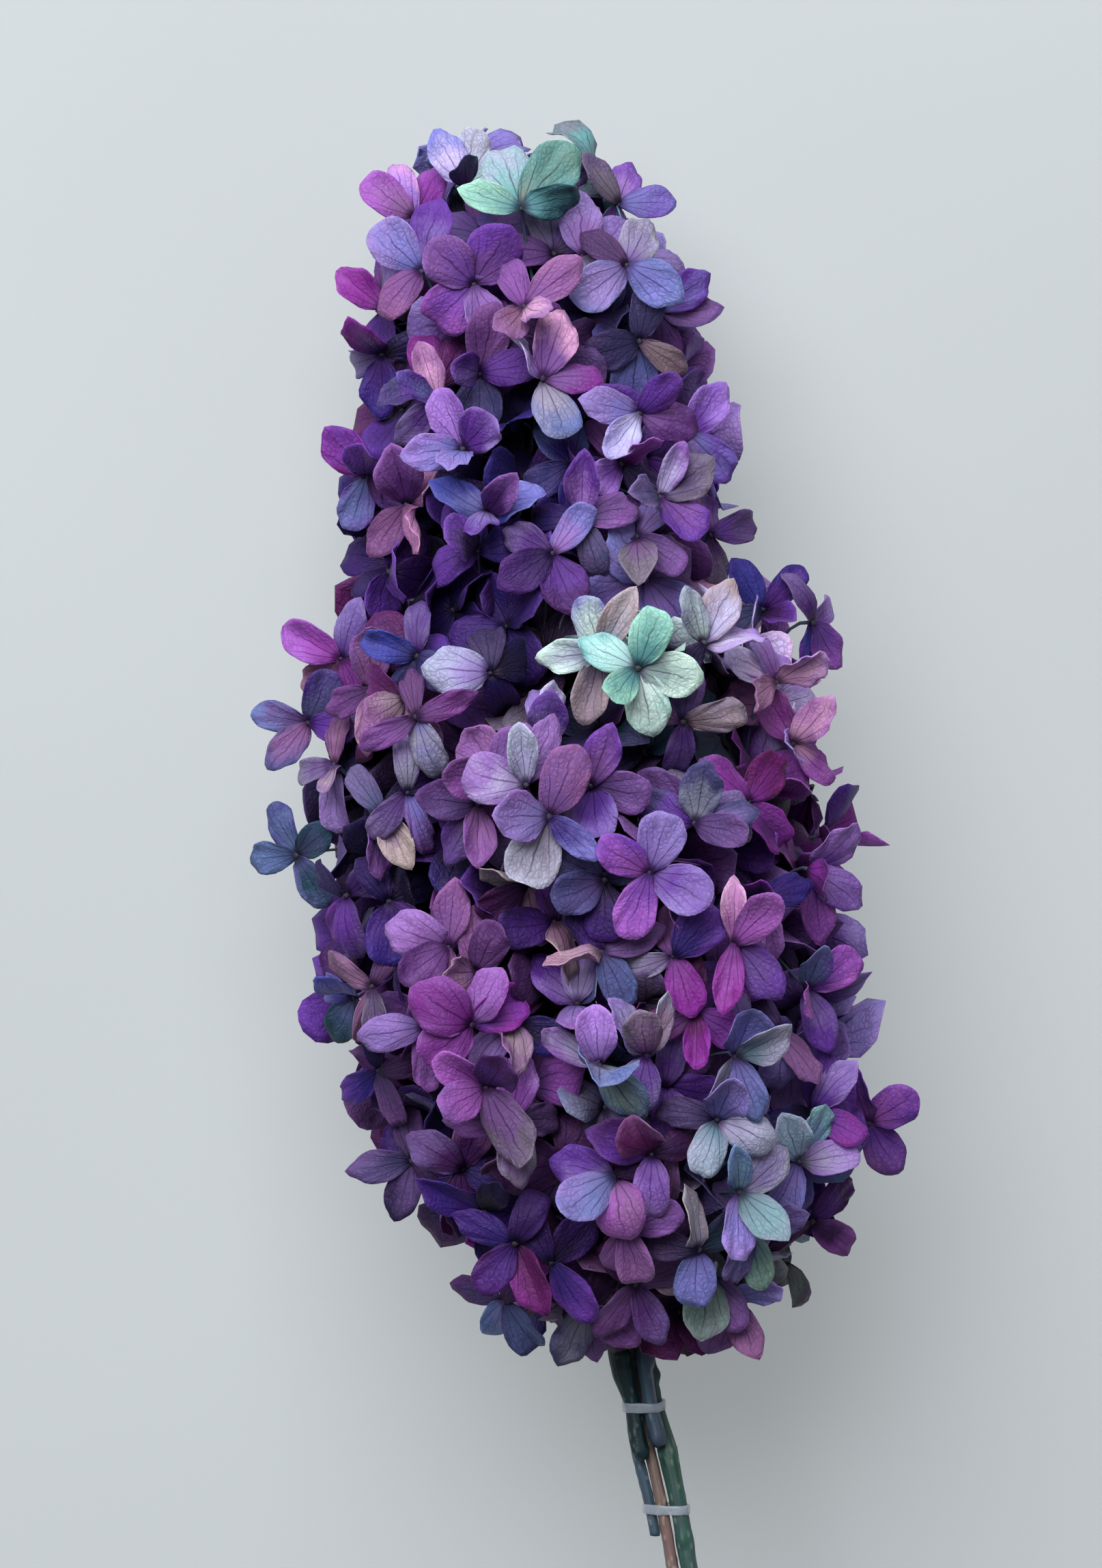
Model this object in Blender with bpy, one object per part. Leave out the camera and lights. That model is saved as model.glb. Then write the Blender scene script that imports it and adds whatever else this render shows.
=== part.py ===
"""Preserved hydrangea bunch, lying on a surface.

Five cut sprays of dyed florets share one long flower head. Their stems run out of its broad end
and are held together by clear bands. +Y runs from the cut stems to the tip of the head and +Z is
up. The origin is on the surface, at the middle of the pressed floret under the weight.
"""

import math
import random

import bmesh
import bpy
import numpy as np
from mathutils import Matrix, Vector
from mathutils.geometry import convex_hull_2d

MM = 0.001
SEED = 7

# The flower head. Each station is (y, axis x, radius) in mm, from the stems to the tip.
HEAD_STATIONS = (
    (-150, 18, 12),
    (-136, 18, 36),
    (-114, 20, 54),
    (-83, 15, 65),
    (-41, 10, 71),
    (0, 7, 68),
    (32, 4, 62),
    (62, -5, 53),
    (91, -4, 50),
    (124, -6, 46),
    (150, -9, 36),
    (168, -9, 20),
    (175, -9, 6),
)
AXIS_HEIGHT = 62.0  # of the head's axis over the surface, at y = 0
AXIS_FALL = 0.1125  # by which the axis drops towards the tip, as a cone lies on its side

# The florets, each of four petals on a short stalk.
FLORET_COUNT = 110
PETAL_LENGTH = 21.0
STANDING_PETAL_LENGTH = 15.5
PRESSED_PETAL_LENGTH = 17.0
PETAL_HALF_WIDTH = 0.47  # as a share of the length
PETAL_TIP_HALF_WIDTH = 0.25
PETAL_WIDEST_AT = 0.6
HUB_RADIUS = 0.12
PETAL_CUP = (0.34, 0.30)  # mean and spread of a petal's rise from the hub, in radians
PETAL_CUP_LIMITS = (-0.35, 1.0)
PETAL_CURL = (0.1, 0.75)  # rise of its sides
PETAL_TWIST = 0.25
BLADE = 0.8  # thickness of a petal
FLORET_DEPTH = 5.0  # of a floret's middle under the head's outline
FLORET_DEPTH_SPREAD = 3.0
FLORET_LEAN = 0.16
OUTLINE_SHARE = 0.6  # how far a floret faces out of the outline, and not out of its spray
TRIED_PLACES = 5000
STALK_ROOT = 0.82  # where a stalk ends inside the core, as a share of its radius
STALK_SHARE = 0.42  # width of a stalk's foot against the hub

# What presses the florets aside: the surface below, and the neighbouring sprays.
CLEARANCE = 1.05  # more than a petal's thickness
CLEARANCE_SPREAD = 1.2  # by which one floret is held further off than another
FLOOR_SOFTNESS = 1.6
SPRAY_SOFTNESS = 1.2
SEAM_WAVE = 4.5  # height of the waves in the seam where two sprays meet
SEAM_WAVE_LENGTH = 75.0
PRESSING_PASSES = 4

# Each spray's heart: (y, angle about the axis from straight up, distance from the axis) and the
# half sizes of the branched core that its florets stand on.
SPRAYS = {
    "top_spray": ((108, 0, 0), (22, 46, 21)),
    "right_spray": ((0, 72, 33), (18, 33, 19)),
    "left_spray": ((-8, -44, 33), (18, 33, 19)),
    "under_spray": ((-5, 190, 29), (20, 35, 16)),
    "bottom_spray": ((-98, 0, 0), (28, 24, 27)),
}

# Florets that stand out of the outline: (x, y, height), the way they face, and their turn.
STANDING_FLORETS = (
    ((-67, -19, 74), (-0.25, 0.1, 1), 12),
    ((-65, 17, 72), (-0.5, 0.0, 1), 40),
    ((-64, 36, 66), (-1.0, 0.2, 0.3), 20),
    ((-56, -45, 60), (-1.0, -0.1, 0.35), 65),
    ((-50, -84, 62), (-1.0, -0.5, 0.2), 30),
    ((-36, -121, 66), (-0.8, -0.8, 0.3), 10),
    ((-44, 143, 46), (-0.9, 0.4, 0.6), 30),
    ((-50, 112, 50), (-1.0, 0.1, 0.2), 5),
    ((-10, 158, 62), (0.0, 0.75, 0.7), 45),
    ((37, 139, 52), (0.8, 0.4, 0.6), 15),
    ((43, 100, 54), (1.0, 0.1, 0.5), 55),
    ((62, 50, 66), (0.8, 0.6, 0.4), 25),
    ((78, 38, 70), (0.9, -0.1, -0.35), 70),
    ((84, -89, 62), (0.55, -0.1, 0.85), 20),
    ((74, -113, 60), (0.9, -0.5, 0.1), 50),
    ((53, -142, 66), (0.4, -0.9, 0.3), 15),
    ((4, -145, 70), (-0.3, -1.0, 0.4), 35),
)
# Florets pressed flat against the surface, which carry the weight: (x, y).
PRESSED_FLORETS = ((0, 0), (36, -34), (-26, -40), (-24, 84), (16, 92), (14, -90))

# The stems, from the cut end inwards: radius, then (x, y, lift over the head's axis) in mm.
STEMS = {
    "stem_top": (2.2, ((41.5, -233, 0), (35.8, -205, 0), (33.2, -188, 0), (32.2, -182, 0),
                       (28.6, -171, -2.0), (26, -160, -2.6), (20.5, -120, -1.8), (18, -98, -1.0),
                       (13, -75, 0), (8, -50, 0), (5, -20, 0), (2, 20, 0), (-5, 74, 0))),
    "stem_under": (1.5, ((38.6, -230, 0.4), (32.2, -205, 0.4), (28.8, -188, 0.4), (27.2, -180, -0.4),
                         (23, -160, -4.2), (18, -115, -4.0), (15, -98, -5.5), (12, -78, -10),
                         (8, -58, -20), (4.5, -44, -26), (3, -27, -28.5))),
    "stem_left": (1.4, ((27.6, -195, -1.0), (26, -188, -1.2), (24.2, -180, -1.6),
                        (20.4, -160, -1.8), (16, -125, -0.6), (12.5, -98, 2.0), (7, -75, 5.0),
                        (-2, -56, 10.0), (-10, -41, 16.0), (-14, -26, 20.5))),
    "stem_right": (1.9, ((27.6, -170.5, 2.4), (25.1, -159, 2.4), (24, -147, 2.4),
                         (22, -120, 2.6), (20.5, -98, 3.4), (20, -75, 4.4), (27, -52, 7.0),
                         (33, -34, 9.5), (36, -19, 10.0))),
    "stem_bottom": (2.0, ((23.8, -174, 2.2), (21.2, -159.5, 2.2), (17.4, -149, 2.6),
                          (15, -130, 3.2), (13.5, -108, 5.0))),
}
# Swollen places, such as leaf scars: stem name, y, extra radius and half length.
STEM_SWELLINGS = (
    ("stem_bottom", -150.5, 1.1, 5.0),
    ("stem_bottom", -173, 0.4, 4.0),
    ("stem_right", -170, 0.5, 5.0),
    ("stem_top", -174, 0.4, 4.0),
    ("stem_under", -212, 0.3, 4.0),
)
STEM_SIDES = 8
STEM_STEP = 8.0
STEM_PASSES = 80
BUNDLE_END = -96.0  # from here inwards the stems part
STEM_CLEARANCE = 0.35
STEM_SLANT = 1.06  # how much wider the slanting stems are where they cross a level
STEM_WAY = (-125.0, 17.0)  # below this y no floret stands nearer to the stems than this

# The clear bands, by where they cross the stems, and their strip.
BANDS = {"band_upper": -161.6, "band_lower": -188.0, "band_end": -209.0}
BAND_WIDTH = 2.6
BAND_THICKNESS = 0.7
BAND_POINTS = 24

FINISHES = {
    "florets": ((0.30, 0.16, 0.42, 1), 0.72),
    "green_stem": ((0.07, 0.17, 0.13, 1), 0.6),
    "teal_stem": ((0.02, 0.09, 0.09, 1), 0.6),
    "slate_stem": ((0.10, 0.12, 0.20, 1), 0.6),
    "tan_stem": ((0.30, 0.20, 0.16, 1), 0.65),
    "band": ((0.75, 0.78, 0.82, 1), 0.3),
}
STEM_FINISHES = {
    "stem_top": "green_stem",
    "stem_under": "tan_stem",
    "stem_left": "slate_stem",
    "stem_right": "slate_stem",
    "stem_bottom": "teal_stem",
}


def material(name):
    """The material of that finish, made once."""
    found = bpy.data.materials.get(name)
    if found:
        return found
    colour, roughness = FINISHES[name]
    made = bpy.data.materials.new(name)
    made.use_nodes = True
    shader = made.node_tree.nodes["Principled BSDF"]
    shader.inputs["Base Color"].default_value = colour
    shader.inputs["Roughness"].default_value = roughness
    shader.inputs["Metallic"].default_value = 0.0
    made.diffuse_color = colour
    return made


def new_object(name, points, faces, finish, collection=None):
    """An object from points in mm."""
    mesh = bpy.data.meshes.new(name)
    mesh.from_pydata([Vector(p) * MM for p in points], [], faces)
    mesh.materials.append(material(finish))
    made = bpy.data.objects.new(name, mesh)
    (collection or bpy.context.scene.collection).objects.link(made)
    return made


# The form of the head


def station(y, column):
    """Axis x (1) or radius (2) of the head at y."""
    rows = np.array(HEAD_STATIONS, float)
    return float(np.interp(y, rows[:, 0], rows[:, column]))


def axis_point(y):
    return Vector((station(y, 1), y, AXIS_HEIGHT - AXIS_FALL * y))


def around(angle):
    """Unit vector out of the axis, at an angle from straight up, turning towards +X."""
    return Vector((math.sin(angle), 0, math.cos(angle)))


def head_point(y, angle, depth=0.0):
    return axis_point(y) + around(angle) * max(station(y, 2) - depth, 0)


def head_normal(y, angle):
    """Outward normal of the head's outline."""
    step = 5.0
    slope = (station(y + step, 2) - station(y - step, 2)) / (2 * step)
    return (around(angle) + Vector((0, -slope, 0))).normalized()


def heart(name):
    y, angle, distance = SPRAYS[name][0]
    return axis_point(y) + around(math.radians(angle)) * distance


def spray_of(point):
    return min(SPRAYS, key=lambda name: (heart(name) - point).length)


# Pressing aside


def pressed(depth, clearance, softness):
    """Soft stop: far from the stop it changes nothing, and nothing passes the clearance."""
    x = np.clip((depth - clearance) / softness, -30, 30)
    return clearance + softness * np.log1p(np.exp(x))


def seam_wave(points, normal):
    """How far the seam between two sprays stands from its plane. It is odd in the normal."""
    side = 1 if tuple(normal) > (0, 0, 0) else -1
    across = np.cross(normal * side, (0.2, 0.3, 1.0))
    across /= np.linalg.norm(across)
    along = np.cross(normal * side, across)
    turn = 2 * math.pi / SEAM_WAVE_LENGTH
    wave = np.sin(points @ across * turn) * np.cos(points @ along * turn * 1.3 + 0.7)
    return side * SEAM_WAVE * wave


def kept_clear(points, name, clearance, pressed_flat=False):
    """The points of one spray, pressed off its neighbours and off the surface below."""
    points = np.array(points, float)
    own = np.array(heart(name))
    for _ in range(PRESSING_PASSES):
        for other in SPRAYS:
            if other == name:
                continue
            away = own - np.array(heart(other))
            normal = away / np.linalg.norm(away)
            depth = (points - (own - away / 2)) @ normal - seam_wave(points, normal)
            moved = pressed(depth, clearance, SPRAY_SOFTNESS)
            near = depth < 4 * SPRAY_SOFTNESS
            step = np.where(near, np.maximum(moved - depth, 0), 0)
            if pressed_flat:
                level = np.array((normal[0], normal[1], 0))
                normal = level / max(level @ level, 0.05)
            points += np.outer(step, normal)
    if not pressed_flat:
        height = points[:, 2]
        moved = pressed(height, clearance, FLOOR_SOFTNESS)
        points[:, 2] = np.where(height < 4 * FLOOR_SOFTNESS, moved, height)
    return points


# The florets


def petal_rows(cup, curl, twist):
    """Outline points and rib of one petal, with x across, y outwards and z up, for length 1."""
    outline = (
        (-PETAL_HALF_WIDTH, PETAL_WIDEST_AT),
        (-PETAL_TIP_HALF_WIDTH, 1.0),
        (PETAL_TIP_HALF_WIDTH, 1.0),
        (PETAL_HALF_WIDTH, PETAL_WIDEST_AT),
    )
    points = [Vector((x, y, curl * x * x + twist * x * y)) for x, y in outline]
    rib = Vector((0, PETAL_WIDEST_AT, 0))
    tilt = Matrix.Rotation(cup, 3, "X")
    return [tilt @ p for p in points], tilt @ rib


def floret_shell(draw, flat):
    """Upper side of a floret facing +Z, as points and triangles, with the hub's corners first."""
    points, faces = [], []
    for quarter in range(4):
        angle = math.pi / 4 + quarter * math.pi / 2
        points.append(Vector((math.cos(angle), math.sin(angle), 0)) * HUB_RADIUS)
    faces += [(0, 1, 2), (0, 2, 3)]
    for quarter in range(4):
        low, high = PETAL_CUP_LIMITS
        cup = 0 if flat else min(max(draw.gauss(*PETAL_CUP), low), high)
        curl = 0 if flat else draw.uniform(*PETAL_CURL)
        twist = 0 if flat else draw.uniform(-PETAL_TWIST, PETAL_TWIST)
        outline, rib = petal_rows(cup, curl, twist)
        size = draw.uniform(0.88, 1.08)
        turn = Matrix.Rotation(quarter * math.pi / 2 + draw.uniform(-0.08, 0.08), 3, "Z")
        first = len(points)
        points += [turn @ (p * size) for p in (*outline, rib)]
        left, right = (quarter + 1) % 4, quarter
        ring = (left, first, first + 1, first + 2, first + 3, right)
        middle = first + 4
        faces += [(ring[i + 1], ring[i], middle) for i in range(5)] + [(ring[0], right, middle)]
    return points, faces


def floret_solid(draw, spray, length, centre, facing, turn, flat):
    """A closed floret in mm: petals of even thickness, and a stalk from the hub to the core."""
    shell, faces = floret_shell(draw, flat)
    normal = Vector(facing).normalized()
    frame = normal.to_track_quat("Z", "Y").to_matrix() @ Matrix.Rotation(turn, 3, "Z")
    clearance = CLEARANCE + draw.uniform(0, CLEARANCE_SPREAD)
    placed = [frame @ (p * length) + Vector(centre) for p in shell]
    placed = [Vector(p) for p in kept_clear(placed, spray, clearance, flat)]
    centre = sum(placed[:4], Vector()) / 4
    made = bmesh.new()
    verts = [made.verts.new(p) for p in placed]
    for face in faces:
        made.faces.new([verts[i] for i in face])
    bmesh.ops.recalc_face_normals(made, faces=made.faces)
    made.normal_update()
    if sum((f.normal * f.calc_area() for f in made.faces), Vector()).dot(normal) < 0:
        bmesh.ops.reverse_faces(made, faces=made.faces)
        made.normal_update()
    corners = add_back(made, verts, normal, flat)
    add_stalk(made, corners, normal, stalk_root(spray, centre))
    return made


def add_back(made, verts, normal, flat):
    """The under side and the rim. It stays open under the hub, whose corners it returns."""
    rim_ends = [(e.verts[0], e.verts[1], e.link_faces[0]) for e in made.edges if e.is_boundary]
    back = {}
    for v in verts:
        out = normal if flat else v.normal
        back[v] = made.verts.new(v.co - out * BLADE)
    for face in list(made.faces)[2:]:
        made.faces.new([back[v] for v in reversed(face.verts)])
    for a, b, face in rim_ends:
        order = list(face.verts)
        if order[(order.index(a) + 1) % 3] is not b:
            a, b = b, a
        made.faces.new((b, a, back[a]))
        made.faces.new((b, back[a], back[b]))
    return [back[v] for v in verts[:4]]


def add_stalk(made, corners, normal, root):
    """A four-sided stalk from the hub, which narrows to its foot at root."""
    middle = sum((v.co for v in corners), Vector()) / 4
    turn = normal.rotation_difference((middle - root).normalized())
    foot = [made.verts.new(root + turn @ ((v.co - middle) * STALK_SHARE)) for v in corners]
    for i in range(4):
        j = (i + 1) % 4
        made.faces.new((corners[i], corners[j], foot[j]))
        made.faces.new((corners[i], foot[j], foot[i]))
    made.faces.new((foot[0], foot[1], foot[2]))
    made.faces.new((foot[0], foot[2], foot[3]))
    bmesh.ops.recalc_face_normals(made, faces=made.faces)


def stalk_root(name, centre):
    """Where the stalk of a floret ends, inside the core of its spray."""
    reach = Vector(SPRAYS[name][1])
    out = (centre - heart(name)).normalized()
    scale = math.sqrt(sum((out[i] / reach[i]) ** 2 for i in range(3)))
    return heart(name) + out * (STALK_ROOT / scale)


def spread_points(fixed, count, draw):
    """Places on the head, each as far as possible from the ones before: (y, angle) pairs."""
    candidates = []
    widest = max(radius for _, _, radius in HEAD_STATIONS)
    while len(candidates) < TRIED_PLACES:
        y = draw.uniform(HEAD_STATIONS[0][0], HEAD_STATIONS[-1][0])
        if draw.random() * widest < station(y, 2):
            candidates.append((y, draw.uniform(-math.pi, math.pi)))
    places = np.array([head_point(y, a, FLORET_DEPTH) for y, a in candidates])
    exit_y, way = STEM_WAY
    off_stems = places - np.array(stem_point("stem_top", HEAD_STATIONS[0][0]))
    near_stems = (places[:, 1] < exit_y) & (np.hypot(off_stems[:, 0], off_stems[:, 2]) < way)
    gaps = np.full(len(places), np.inf)
    gaps[near_stems] = 0
    for point in fixed:
        gaps = np.minimum(gaps, np.linalg.norm(places - np.array(point), axis=1))
    chosen = []
    for _ in range(count):
        best = int(np.argmax(gaps))
        chosen.append(candidates[best])
        gaps = np.minimum(gaps, np.linalg.norm(places - places[best], axis=1))
    return chosen


def floret_places(draw):
    """Every floret as (spray, petal length, centre, facing, turn, whether it is pressed)."""
    places = []
    for x, y in PRESSED_FLORETS:
        centre = Vector((x, y, 0))
        name = spray_of(centre + Vector((0, 0, 12)))
        turn = draw.uniform(0, math.pi / 2)
        places.append((name, PRESSED_PETAL_LENGTH, centre, Vector((0, 0, -1)), turn, True))
    for centre, facing, turn in STANDING_FLORETS:
        centre = Vector(centre)
        turn = math.radians(turn)
        places.append((spray_of(centre), STANDING_PETAL_LENGTH, centre, facing, turn, False))
    fixed = [p[2] for p in places]
    for y, angle in spread_points(fixed, FLORET_COUNT - len(places), draw):
        depth = FLORET_DEPTH + draw.uniform(-FLORET_DEPTH_SPREAD, FLORET_DEPTH_SPREAD)
        centre = head_point(y, angle, depth)
        name = spray_of(centre)
        radial = (centre - heart(name)).normalized()
        lean = Vector([draw.gauss(0, FLORET_LEAN) for _ in range(3)])
        facing = head_normal(y, angle) * OUTLINE_SHARE + radial * (1 - OUTLINE_SHARE) + lean
        turn = draw.uniform(0, math.pi / 2)
        places.append((name, PETAL_LENGTH, centre, facing, turn, False))
    return places


# Sprays


def core_mesh(name):
    """The branched heart of a spray, as a rounded solid inside the florets."""
    made = bmesh.new()
    bmesh.ops.create_icosphere(made, subdivisions=2, radius=1.0)
    reach, middle = Vector(SPRAYS[name][1]), heart(name)
    points = [middle + Vector(a * b for a, b in zip(v.co, reach)) for v in made.verts]
    points = kept_clear(points, name, CLEARANCE)
    faces = [[v.index for v in f.verts] for f in made.faces]
    made.free()
    return new_object(name, points, faces, "florets")


def applied(target):
    """Applies the modifiers of an object."""
    bpy.context.view_layer.update()
    graph = bpy.context.evaluated_depsgraph_get()
    mesh = bpy.data.meshes.new_from_object(target.evaluated_get(graph))
    target.modifiers.clear()
    target.data = mesh


def without_scraps(target):
    """Keeps the largest connected body of a mesh."""
    made = bmesh.new()
    made.from_mesh(target.data)
    left, bodies = set(made.verts), []
    while left:
        todo, body = [left.pop()], []
        while todo:
            v = todo.pop()
            body.append(v)
            for e in v.link_edges:
                other = e.other_vert(v)
                if other in left:
                    left.discard(other)
                    todo.append(other)
        bodies.append(body)
    bodies.sort(key=len)
    for body in bodies[:-1]:
        bmesh.ops.delete(made, geom=body, context="VERTS")
    made.to_mesh(target.data)
    made.free()


def make_spray(name, places, draw, cutters):
    """One spray: its core and all its florets in one solid, with plain holes for the stems."""
    core = core_mesh(name)
    repeats = bpy.data.collections.new(name + "_florets")
    bpy.context.scene.collection.children.link(repeats)
    for spray, length, centre, facing, turn, flat in places:
        if spray != name:
            continue
        solid = floret_solid(draw, name, length, centre, facing, turn, flat)
        solid.verts.index_update()
        points = [v.co.copy() for v in solid.verts]
        faces = [[v.index for v in f.verts] for f in solid.faces]
        solid.free()
        new_object(f"{name}_floret", points, faces, "florets", repeats)
    union = core.modifiers.new("florets", "BOOLEAN")
    union.operation = "UNION"
    union.operand_type = "COLLECTION"
    union.collection = repeats
    union.solver = "MANIFOLD"
    applied(core)
    for floret in list(repeats.objects):
        bpy.data.objects.remove(floret)
    bpy.data.collections.remove(repeats)
    for cutter in cutters:
        hole = core.modifiers.new("stem_hole", "BOOLEAN")
        hole.operation = "DIFFERENCE"
        hole.object = cutter
        hole.solver = "MANIFOLD"
    applied(core)
    without_scraps(core)
    return core


# Stems


def stem_row(name):
    return sorted(STEMS[name][1], key=lambda p: p[1])


def stem_point(name, y):
    """A point on the stem's line before the stems are pressed apart."""
    rows = np.array(stem_row(name), float)
    smooth = [
        np.mean([np.interp(y + step, rows[:, 1], rows[:, column]) for step in (-4, -2, 0, 2, 4)])
        for column in (0, 2)
    ]
    return Vector((smooth[0], y, AXIS_HEIGHT - AXIS_FALL * y + smooth[1]))


def stem_radius(name, y):
    radius = STEMS[name][0]
    for stem, middle, extra, half in STEM_SWELLINGS:
        if stem == name:
            radius += extra * math.exp(-(((y - middle) / half) ** 2))
    return radius


def stem_levels():
    """The heights along Y at which every stem has a ring."""
    ends = {row[end][1] for row in map(stem_row, STEMS) for end in (0, -1)}
    low, high = min(ends), max(ends)
    steps = [*np.arange(low, BUNDLE_END, STEM_STEP), *np.arange(BUNDLE_END, high, 2 * STEM_STEP)]
    kept = [float(y) for y in steps if min(abs(y - end) for end in ends) > STEM_STEP / 3]
    return sorted(ends.union(kept))


def stem_lines():
    """Every stem's centre line, with the stems pressed apart where they run side by side."""
    lines = {name: [] for name in STEMS}
    for y in stem_levels():
        here = [n for n in STEMS if stem_row(n)[0][1] <= y <= stem_row(n)[-1][1]]
        spots = {n: stem_point(n, y) for n in here}
        for _ in range(STEM_PASSES):
            for i, a in enumerate(here):
                for b in here[i + 1:]:
                    apart = spots[a] - spots[b]
                    radii = stem_radius(a, y) + stem_radius(b, y)
                    need = STEM_SLANT * radii + STEM_CLEARANCE
                    if 0 < apart.length < need:
                        push = apart.normalized() * (need - apart.length) / 2
                        spots[a] += push
                        spots[b] -= push
        for n in here:
            lines[n].append(spots[n])
    return lines


def tube(line, radii, sides):
    """Points and faces of a closed tube with flat ends."""
    points, faces = [], []
    for i, middle in enumerate(line):
        along = (line[min(i + 1, len(line) - 1)] - line[max(i - 1, 0)]).normalized()
        across = along.cross(Vector((0, 0, 1))).normalized()
        up = across.cross(along)
        for k in range(sides):
            angle = 2 * math.pi * k / sides
            points.append(middle + (across * math.cos(angle) + up * math.sin(angle)) * radii[i])
    for i in range(len(line) - 1):
        for k in range(sides):
            a, b = i * sides + k, i * sides + (k + 1) % sides
            faces.append((a, b, b + sides, a + sides))
    faces.append(list(range(sides - 1, -1, -1)))
    faces.append(list(range(len(points) - sides, len(points))))
    return points, faces


def outward(target):
    """Turns a closed mesh's faces out."""
    made = bmesh.new()
    made.from_mesh(target.data)
    bmesh.ops.recalc_face_normals(made, faces=made.faces)
    made.to_mesh(target.data)
    made.free()
    return target


def make_stem(name, line):
    radii = [stem_radius(name, p.y) for p in line]
    points, faces = tube(line, radii, STEM_SIDES)
    made = outward(new_object(name, points, faces, STEM_FINISHES[name]))
    made.data.shade_smooth()
    made.data.set_sharp_from_angle(angle=math.radians(50))
    return made


def make_stem_cutter(name, line):
    """A tube round the stem with its clearance, which reaches a little past its inner end."""
    along = (line[-1] - line[-2]).normalized()
    longer = [*line, line[-1] + along * STEM_CLEARANCE]
    radii = [(stem_radius(name, p.y) + STEM_CLEARANCE) / math.cos(math.pi / STEM_SIDES)
             for p in longer]
    points, faces = tube(longer, radii, STEM_SIDES)
    made = outward(new_object(name + "_hole", points, faces, STEM_FINISHES[name]))
    made.hide_render = True
    made.display_type = "WIRE"
    return made


# Bands


def line_at(line, y):
    rows = np.array(line)
    return Vector([float(np.interp(y, rows[:, 1], rows[:, i])) for i in range(3)])


def band_loop(y, lines):
    """The band's inner line: the taut outline round the stems that cross at y."""
    spots = []
    for name, line in lines.items():
        if not line[0].y <= y <= line[-1].y:
            continue
        middle = line_at(line, y)
        corner = STEM_SLANT * stem_radius(name, y) / math.cos(math.pi / STEM_SIDES)
        reach = corner + STEM_CLEARANCE
        for k in range(BAND_POINTS):
            angle = 2 * math.pi * k / BAND_POINTS
            spots.append((middle.x + reach * math.cos(angle), middle.z + reach * math.sin(angle)))
    hull = [Vector(spots[i]) for i in convex_hull_2d(spots)]
    closed = [*hull, hull[0]]
    lengths = np.cumsum([0] + [(b - a).length for a, b in zip(closed, closed[1:])])
    steps = np.linspace(0, lengths[-1], BAND_POINTS, endpoint=False)
    xs = np.interp(steps, lengths, [p.x for p in closed])
    zs = np.interp(steps, lengths, [p.y for p in closed])
    return [Vector((x, y, z)) for x, z in zip(xs, zs)]


def make_band(name, y, lines):
    """A clear strip stretched round the stems."""
    inner = band_loop(y, lines)
    middle = sum(inner, Vector()) / len(inner)
    points, faces = [], []
    count = len(inner)
    for i, p in enumerate(inner):
        along = (inner[(i + 1) % count] - inner[i - 1]).normalized()
        out = along.cross(Vector((0, 1, 0)))
        if out.dot(p - middle) < 0:
            out.negate()
        for side, depth in ((-1, 0), (-1, 1), (1, 1), (1, 0)):
            points.append(p + out * (BAND_THICKNESS * depth)
                          + Vector((0, side * BAND_WIDTH / 2, 0)))
    for i in range(count):
        for k in range(4):
            a, b = i * 4 + k, i * 4 + (k + 1) % 4
            c, d = ((i + 1) % count) * 4 + (k + 1) % 4, ((i + 1) % count) * 4 + k
            faces.append((a, b, c, d))
    made = outward(new_object(name, points, faces, "band"))
    made.data.shade_smooth()
    made.data.set_sharp_from_angle(angle=math.radians(40))
    return made


def main():
    for obj in list(bpy.data.objects):
        bpy.data.objects.remove(obj)
    draw = random.Random(SEED)
    lines = stem_lines()
    cutters = [make_stem_cutter(name, line) for name, line in lines.items()]
    places = floret_places(draw)
    for name in SPRAYS:
        make_spray(name, places, draw, cutters)
    for cutter in cutters:
        bpy.data.objects.remove(cutter)
    for name, line in lines.items():
        make_stem(name, line)
    for name, y in BANDS.items():
        make_band(name, y, lines)


main()
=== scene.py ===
"""Looks of a preserved, dyed hydrangea bunch: florets, twigs, stems and clear bands, built round its CAD frame."""

import math

import bpy
import numpy as np
from bpy.props import FloatProperty, FloatVectorProperty, IntProperty, PointerProperty
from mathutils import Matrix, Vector
from mathutils.bvhtree import BVHTree


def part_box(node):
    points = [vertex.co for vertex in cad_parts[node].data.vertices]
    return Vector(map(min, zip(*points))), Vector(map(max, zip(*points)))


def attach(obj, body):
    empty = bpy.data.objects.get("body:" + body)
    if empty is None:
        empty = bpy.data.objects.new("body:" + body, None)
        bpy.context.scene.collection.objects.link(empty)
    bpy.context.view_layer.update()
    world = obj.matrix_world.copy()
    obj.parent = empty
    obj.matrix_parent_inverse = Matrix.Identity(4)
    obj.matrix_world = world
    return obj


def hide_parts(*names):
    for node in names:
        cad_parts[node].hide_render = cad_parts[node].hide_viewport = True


bl_info = {
    "name": "Preserved Hydrangea Bunch",
    "version": (1, 0, 0),
    "blender": (4, 5, 0),
    "location": "View3D > Sidebar > Hydrangea",
    "description": "Builds the florets, twigs, stems and bands of a dyed hydrangea bunch",
    "category": "Object",
}

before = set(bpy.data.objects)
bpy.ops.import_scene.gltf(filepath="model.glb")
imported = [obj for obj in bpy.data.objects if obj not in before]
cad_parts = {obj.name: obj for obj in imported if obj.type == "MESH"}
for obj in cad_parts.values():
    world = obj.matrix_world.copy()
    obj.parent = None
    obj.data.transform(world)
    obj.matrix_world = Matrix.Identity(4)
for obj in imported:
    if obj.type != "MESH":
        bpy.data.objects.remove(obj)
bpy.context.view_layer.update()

MM = 0.001  # every length below is in millimetres, and turns into metres when a mesh is made
BODY = "root"
SEED = 11

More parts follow.
